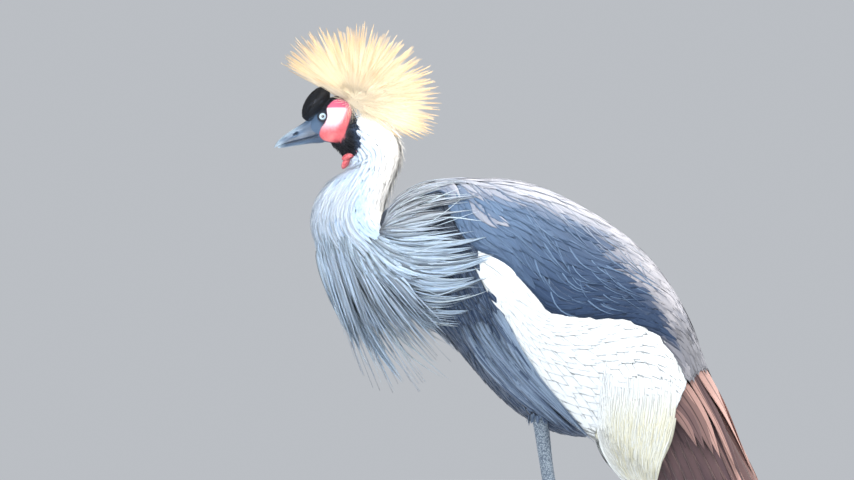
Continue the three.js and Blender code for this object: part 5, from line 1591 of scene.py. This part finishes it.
def crest_spikes(rng, axis, level):
    """Ways, lengths and turns round the axis of the crest's spikes. They are spread evenly over the fan
    by golden turns, and each is tipped up towards the axis until it clears head and neck and lies
    between the fan's ends."""
    n = CREST["spikes"]
    i = np.arange(n) + 0.5
    polar = np.arccos(1 - (1 - np.cos(CREST_FAN)) * i / n) + rng.normal(0, 0.03, n)
    turn = GOLDEN_TURN * i
    ways = unit(np.cos(polar)[:, None] * axis + (np.sin(polar) * np.cos(turn))[:, None] * level
                + (CREST["narrow"] * np.sin(polar) * np.sin(turn))[:, None] * SIDEWAYS)
    length = CREST_REACH(side_angle(ways))[0] * rng.uniform(0.88, 1.02, n)
    flesh = [cloud(skull_surface, (-41, 48), -1), cloud(neck_surface, (0.3, 8), -1),
             cloud(cap_surface, (0.05, np.pi - 0.05), 1)]
    checked = length[:, None] * np.array([0.42, 0.6, 0.8, 1.0])
    narrowest = rng.uniform(0.34, 0.6, n)
    for _ in range(12):
        spots = (CREST_ROOT + ways[:, None] * checked[..., None]).reshape(-1, 3)
        hit = np.zeros(n, bool)
        for surfaces in flesh:
            hit |= inside(surfaces, spots, CREST["clear"]).reshape(n, -1).any(1)
        seen = side_angle(ways)
        hit |= (seen > CREST_ENDS[1]) | (seen < CREST_ENDS[0])
        hit |= np.hypot(ways[:, 0], ways[:, 2]) < narrowest
        ways[hit] = unit(blend(ways[hit], axis, CREST["tip_up"]))
    return ways, length, turn


def crest():
    """Fan of stiff bristles: each spike is a cone of bristles that meet at its tip and leave a ball of
    down round the root. The bristles turn from gold at the tips to pale cream towards the middle,
    painted light where the sun shines through the crest. Short loose bristles hang from the root over
    the back of the head."""
    rng = np.random.default_rng(SEEDS["crest"])
    axis = np.array([np.cos(CREST_TILT), 0.0, np.sin(CREST_TILT)])
    level = np.array([-axis[2], 0.0, axis[0]])
    ways, length, turn = crest_spikes(rng, axis, level)
    n = CREST["spikes"] * CREST["bristles"]
    way, length, turn = (np.repeat(values, CREST["bristles"], 0) for values in (ways, length, turn))
    wide = unit(np.cross(SIDEWAYS, way))
    high = np.cross(way, wide)
    phase = rng.uniform(0, 2 * np.pi, n)
    spread = np.sqrt(rng.random(n))
    t = np.linspace(0, 1, 6)[None]
    far = (length * np.where(rng.random(n) < 0.35, 1.0, rng.uniform(0.6, 1.0, n)))[:, None]
    middle = CREST_ROOT + CREST_CORE["out"] * axis - CREST_CORE["back"] * level
    near = np.minimum(crest_exit(middle, way) * rng.uniform(0.8, 1.02, n), 0.8 * far[:, 0])
    out = blend(near[:, None], far, t)
    share = out / length[:, None]
    gap = spread[:, None] * (CREST["cone"] * np.maximum(1 - share, 0) ** 0.9 + 0.25)
    curl = phase[:, None] + 0.5 * t
    paths = (CREST_ROOT + way[:, None] * out[..., None] + wide[:, None] * (gap * np.cos(curl))[..., None]
             + high[:, None] * (gap * np.sin(curl))[..., None])
    radius = CREST["thick"] * (1 - 0.62 * t) * np.ones((n, 1))
    roots = unwrap("head", -30 + 20 * np.cos(turn), 2 * np.sin(turn))
    # Painted light: paler towards the root.
    tone = 1 - smooth(0.5, 1.05, share) + rng.normal(0, 0.12, n)[:, None]
    spikes = paths, np.broadcast_to(high[:, None], paths.shape), radius, roots, tone
    laid = together(spikes, loose_bristles(rng, t))
    piece = needles("crest_bristles", *laid[:4], tone=laid[4])
    dress(piece, BRISTLE, ("crest",), sheer=True)
    crest_down(middle)


def loose_bristles(rng, t):
    """Paths, outward directions, radii, places on the unwrap and tones of the crest's loose bristles,
    which lie beside the head."""
    n = CREST["loose"]
    side = np.where(np.arange(n) % 2, 1.0, -1.0)
    fall = np.radians(rng.uniform(-100, -20, n))[:, None]
    start = rng.uniform(-14, 6, n)[:, None]
    along = rng.uniform(18, 36, n)[:, None] * t
    x = CREST_ROOT[0] + start + along * np.cos(fall)
    z = CREST_ROOT[2] - 3 - 0.3 * start + along * np.sin(fall)
    width, outs = beside(x, z)
    lift = rng.uniform(1.0, 4.0, n)[:, None] * (0.3 + t)
    paths = np.stack([x, width, z], -1) + outs * lift[..., None]
    turned = np.stack([np.ones(n), side, np.ones(n)], -1)[:, None]
    radius = CREST["loose_thick"] * (1 - 0.6 * t) * np.ones((n, 1))
    roots = unwrap("head", -30 + start[:, 0], 0.5 * side)
    return paths * turned, outs * turned, radius, roots, np.full((n, t.size), 0.9)


def tipped(points, tilt):
    """Points turned by a tilt in the plane of symmetry."""
    x, z = swung(points[..., 0], points[..., 2], tilt)
    return np.stack([x, points[..., 1], z], -1)


def crest_exit(middle, way):
    """Distance from the crest's root to the surface of its ball along each way: the larger root t of
    |p + t d|^2 = 1, with p and d the root's place and the way in the ball's axes and half sizes."""
    p = tipped(CREST_ROOT - middle, -CREST_CORE["tilt"]) / CREST_CORE["size"]
    d = tipped(way, -CREST_CORE["tilt"]) / CREST_CORE["size"]
    square = (d * d).sum(-1)
    half = (d @ p) / square
    return np.sqrt(half ** 2 + (1 - p @ p) / square) - half


def crest_down(middle):
    """Ball of down that fills the crest's middle: an ellipsoid under short soft bristles that stand on
    it at a slant, away from the crest's root. Its pale cream is painted light where the sun shines
    through the crest."""
    rng = np.random.default_rng(SEEDS["crest_down"])
    size, tilt, n = CREST_CORE["size"], CREST_CORE["tilt"], CREST_CORE["bristles"]
    core = ellipsoid("crest_core", middle, size, tilt)
    # Painted light: the ball takes the palest colour.
    carry(core.data, {"tone": 1.0, "chance": 0.5})
    dress(core, BRISTLE)

    ahead = 1 - 2 * (np.arange(n) + 0.5) / n
    turn = GOLDEN_TURN * np.arange(n)
    round_ = np.sqrt(1 - ahead * ahead)
    places = np.stack([ahead, round_ * np.sin(turn), round_ * np.cos(turn)], -1)
    base = middle + tipped(places * size, tilt)
    outs = unit(tipped(places / size, tilt))
    away = unit((base - CREST_ROOT + [6.0, 0.0, 3.0]) * [1.0, 0.4, 1.0])
    way = unit(0.4 * outs + 1.2 * away + rng.normal(0, 0.22, (n, 3)))
    length = rng.uniform(14, 40, n) * blend(0.4, 1.0, smooth(-30, 15, base[:, 0] - CREST_ROOT[0]))
    t = np.linspace(0, 1, 4)
    paths = base[:, None] + way[:, None] * (length[:, None] * t)[..., None] - outs[:, None] * 0.8
    outs = np.broadcast_to(outs[:, None], paths.shape)
    radius = CREST_CORE["thick"] * (1 - 0.7 * t) * np.ones((n, 1))
    # Painted light: the down is pale too.
    piece = needles("crest_down", paths, outs, radius, unwrap("head", -30 + 12 * places[:, 0], turn % 3),
                    tone=1 - 0.15 * rng.random(n))
    return dress(piece, BRISTLE, sheer=True)


# Eyes, bill, wattle and legs
def eye(word, side):
    """Eyeball round its axis: a ball with rings at distance radius sin(a) from the axis."""
    a = np.linspace(0.01, np.pi - 0.01, 40)[:, None]
    turn = full_turn(48)
    ring = EYE["radius"] * np.sin(a) * np.ones_like(turn)
    out = side * (EYE["y"] + EYE["radius"] * np.cos(a))
    points = in_head(EYE["f"] + ring * np.cos(turn), EYE["g"] + ring * np.sin(turn), out)
    floats = {"ring": ring, "spoke": np.broadcast_to(turn, ring.shape)}
    return dress(tube(f"eyeball_{word}", points, floats), EYE_GLOSS, (f"eye_{word}",))


def bill_rings(table, span, sign):
    """Half a bill: an arch at each place f, from the mouth line to its edge, a little keeled along the
    middle, with a hollow at the nostril on the upper half. Gives its points, its paleness, a painted
    highlight that grows towards the ridge and the tip, and its darkness: painted shade in the nostril
    and along the mouth, and darker horn at the base."""
    f = np.linspace(*span, 90)[:, None]
    turn = np.linspace(0, np.pi, 33)
    edge, half = table(f)
    base = MOUTH(f)[0] + sign * MOUTH_GAP / 2
    arch = np.sin(turn) ** 0.92
    g = base + (edge - base) * arch
    y = half * np.cos(turn) * (1 - 0.10 * np.sin(turn) ** 6) * (1 - 0.10 * np.sin(2 * turn) ** 2)
    f, g, y, arch = np.broadcast_arrays(f, g, y, arch)
    # Painted highlight along the ridge and towards the tip.
    pale = smooth(0.55, 1.0, arch) * smooth(44, 84, f) * (0.75 if sign > 0 else 0.45)
    pale = np.maximum(pale, 0.7 * smooth(88, 104, f))
    # Painted shade along the mouth; the base's darker horn is its own.
    dark = 0.75 * smooth(0.42, 0.12, arch) * smooth(100, 84, f) + 0.25 * smooth(66, 44, f)
    if sign > 0:
        ahead, above = swung(f - NOSTRIL["f"], g - NOSTRIL["g"], -NOSTRIL["tilt"])
        away = np.hypot(ahead / NOSTRIL["long"], above / NOSTRIL["high"])
        groove = np.hypot(ahead / 17, above / 3.0)
        dent = NOSTRIL["deep"] * smooth(1.15, 0.6, away) + 0.7 * smooth(1.3, 0.3, groove)
        y = y * (1 - np.clip(dent / np.maximum(np.abs(y), 1e-3), 0, 0.75))
        # Painted shade in the nostril.
        dark = np.maximum(dark, smooth(1.5, 0.9, away))
        pale = pale * smooth(0.9, 1.5, away)
    return in_head(f, g, y), pale, dark


def bill():
    """Upper and lower halves, tapering to the tip, with a painted highlight along the ridge."""
    for half, table, span, sign in (
            ("upper", BILL_TOP, (34, 107.5), 1), ("lower", BILL_BOTTOM, (34, 102), -1)):
        points, pale, dark = bill_rings(table, span, sign)
        piece = tube(f"bill_{half}_horn", points, {"tone": pale, "shade": dark})
        dress(piece, HORN, (f"bill_{half}",))


def ellipsoid(name, middle, sizes, tilt, wrinkle=0.0):
    """Ball with half sizes along, across and up, tipped in the plane of symmetry. Its surface swells
    and sinks by wrinkle sin(5 a + 3 turn) sin(4 turn + 2 a)."""
    a, turn = np.linspace(*BALL_SPAN, 36)[:, None], full_turn(48)
    wave = 1 + wrinkle * np.sin(5 * a + 3 * turn) * np.sin(4 * turn + 2 * a)
    places = np.stack([place * wave for place in ball(sizes, a, turn)], -1)
    return tube(name, np.array(middle) + tipped(places, tilt))


def wattle():
    """Bare red lobes with soft wrinkles, joined to one."""
    lobes = [ellipsoid("lobe", middle, sizes, np.radians(tilt), wrinkle=0.035)
             for middle, sizes, tilt in WATTLE_LOBES]
    piece = fuse("wattle_skin", lobes)
    piece.data.shade_smooth()
    return dress(piece, RED_SKIN, ("wattle",))


def leg_rings(side, z, turn, grow=0.0):
    """Rings of the bare leg at heights z, grown forwards and by half as much sideways."""
    x, long, wide = SHANK(z)
    x = x + LEG_STEP[side] + (long + grow) * np.cos(turn)
    y = side * (LEG_SPREAD + (wide + 0.5 * grow) * np.sin(turn))
    return np.stack(np.broadcast_arrays(x, y, z), -1)


def shanks(word, side):
    """Bare leg above and below the heel joint: rounded rings, with broad scutes down the front of the
    lower part that each end in a lip."""
    for name, low, high, replaced in (("upper", 210, 352, "tibia"), ("lower", 25, 209.6, "tarsus")):
        z = np.arange(low, high + 0.01, 0.8)[:, None]
        turn = full_turn(40)
        saw = ((SCUTES["top"] - z) / SCUTES["pitch"]) % 1.0
        lip = SCUTES["lip"] * saw ** 2 * smooth(30, 40, z) * smooth(206, 198, z)
        points = leg_rings(side, z, turn, lip * smooth(-0.1, -0.7, np.cos(turn)))
        dress(tube(f"{name}_leg_{word}", points), SCALES, (f"{replaced}_{word}",))


def toe_place(toe, out, aside, up):
    """Points of the right foot, counted from the middle of its floor, at distances out along a toe,
    aside from it and up."""
    turn = np.radians(toe["turn"])
    ahead = np.array([-np.cos(turn), np.sin(turn), 0.0])
    across = np.array([-ahead[1], ahead[0], 0.0])
    return in_frame(np.zeros(3), ahead, across, out, aside, up, np.array([0.0, 0.0, 1.0]))


def toe_rings(toe):
    """Toe on the floor, narrowing to a rounded end, with a pad between each two joints."""
    t = np.linspace(0, 1, 60)[:, None]
    turn = full_turn(28)
    pad = 1 + 0.09 * np.cos(2 * np.pi * toe["joints"] * (t + 0.02))
    end = np.sqrt(np.clip(1 - ((t - 0.93) / 0.0705) ** 2, 0.02, 1)) * (t > 0.93) + (t <= 0.93)
    half = toe["width"] * (1 - 0.42 * t) * pad * end
    high = 0.5 * toe["width"] * (1.7 - t) * pad
    out = 4 + (toe["length"] - 4) * t
    return toe_place(toe, out, half * np.sin(turn), high + high * end * np.cos(turn))


def claw_rings(toe):
    """Claw that starts inside the toe's end and curves down to the floor."""
    t = np.linspace(0, 1, 26)[:, None]
    turn = full_turn(20)
    size = 0.5 * toe["width"] * (1 - 0.9 * t ** 1.3)
    out = toe["length"] - 2.5 + (CLAW_LENGTH + 2.5) * t
    lift = blend(0.45 * toe["width"] + 1.0, 0.9, t * t)
    points = toe_place(toe, out, 0.75 * size * np.sin(turn), lift + 0.9 * size * np.cos(turn))
    return points, 0.25 * t * np.ones(turn.size)


def foot(word, side):
    """Foot: a hub under the shank and toes with pads between their joints, fused and smoothed, and
    curved claws."""
    middle = np.array([FOOT_X + LEG_STEP[side], side * LEG_SPREAD, 0.0])
    parts = [
        ellipsoid("hub", middle + [0, 0, FOOT_HUB["z"]], FOOT_HUB["size"], 0.0),
        tube("neck", leg_rings(side, np.linspace(6, 25.6, 12)[:, None], full_turn(32))),
    ]
    for label, toe in TOES.items():
        parts.append(tube("toe", middle + mirrored(toe_rings(toe), side)))
        points, pale = claw_rings(toe)
        claw = tube(f"claw_{word}_{label}_horn", middle + mirrored(points, side), {"tone": pale})
        dress(claw, CLAW, (f"claw_{word}_{label}",))
    made = fuse(f"foot_scales_{word}", parts)
    round_off = made.modifiers.new("soften", "REMESH")
    round_off.mode = "VOXEL"
    round_off.voxel_size = 0.0009
    round_off.use_smooth_shade = True
    relax = made.modifiers.new("relax", "SMOOTH")
    relax.factor = 0.5
    relax.iterations = 4
    return dress(made, SCALES, (f"foot_{word}",))


EYE_GLOSS = eye_finish()
HORN = horn_finish("bill_horn", "bill", "bill_dark", "bill_highlight", 0.38)
CLAW = horn_finish("claw_horn", "claw", "black", "leg", 0.45)
RED_SKIN = wattle_finish()
SCALES = scale_finish()

skin()
crest()
neck_feathers()
breast_plumes()
head_feathers()
thigh_feathers()
tail_feathers()
bill()
wattle()
for word, sign in SIDES.items():
    for make in (back_feathers, white_feathers, straw_plumes, flight_feathers, primary_feathers,
                 belly_feathers, eye, shanks, foot):
        make(word, sign)


# Camera at the height of the bird's middle, looking square at its left side
CAMERA = {"x": -0.1389, "z": 0.612, "away": 4.0, "across": 1.281}
camera_data = bpy.data.cameras.new("camera")
camera_data.sensor_fit = "HORIZONTAL"
camera_data.angle = 2 * np.arctan(CAMERA["across"] / 2 / CAMERA["away"])
camera = placed("camera", camera_data)
camera.location = (CAMERA["x"] + SHIFT[0] * MM, -CAMERA["away"], CAMERA["z"])
camera.rotation_euler = (np.pi / 2, 0.0, 0.0)
bpy.context.scene.camera = camera


FLOOR = {"radius": 2.8, "corners": 96}


def stage():
    """Pale round floor that ends where the camera's view begins, so that nothing stands behind the
    bird from any side."""
    turn = full_turn(FLOOR["corners"])
    rim = FLOOR["radius"] * np.stack([np.cos(turn), np.sin(turn), 0 * turn], -1)
    mesh = bpy.data.meshes.new("studio_floor")
    mesh.from_pydata(rim.tolist(), [], [list(range(len(rim)))])
    mesh.materials.append(floor_finish())
    made = placed("studio_floor", mesh)


def softbox(name, place, aim, size, power, tint=(1.0, 1.0, 1.0), spread=180):
    """Square area light at a place, turned towards a point."""
    data = bpy.data.lights.new(name, "AREA")
    data.size = size
    data.energy = power
    data.color = tint
    data.spread = np.radians(spread)
    light = placed(name, data)
    light.location = place
    light.rotation_euler = (Vector(aim) - Vector(place)).to_track_quat("-Z", "Y").to_euler()


stage()
softbox("key", (1.4, -1.0, 2.7), (0.0, 0.0, 0.6), 1.0, 80, (1.0, 0.98, 0.94))
softbox("fill", (-1.8, -2.6, 1.3), (-0.1, 0.0, 0.6), 2.0, 42, (0.93, 0.96, 1.0))
softbox("head", (-0.5, -1.8, 1.3), (-0.19, 0.0, 0.91), 0.5, 0.9, (1.0, 0.99, 0.97), 24)
softbox("rim", (1.0, 1.5, 2.4), (-0.1, 0.0, 0.7), 1.0, 70, (1.0, 0.98, 0.95))
world = bpy.data.worlds.new("studio")
world.use_nodes = True
sky = world.node_tree.nodes["Background"].inputs
sky["Color"].default_value = (0.9, 0.94, 1.0, 1.0)
sky["Strength"].default_value = 0.55
bpy.context.scene.world = world
bpy.context.scene.view_settings.view_transform = "Standard"
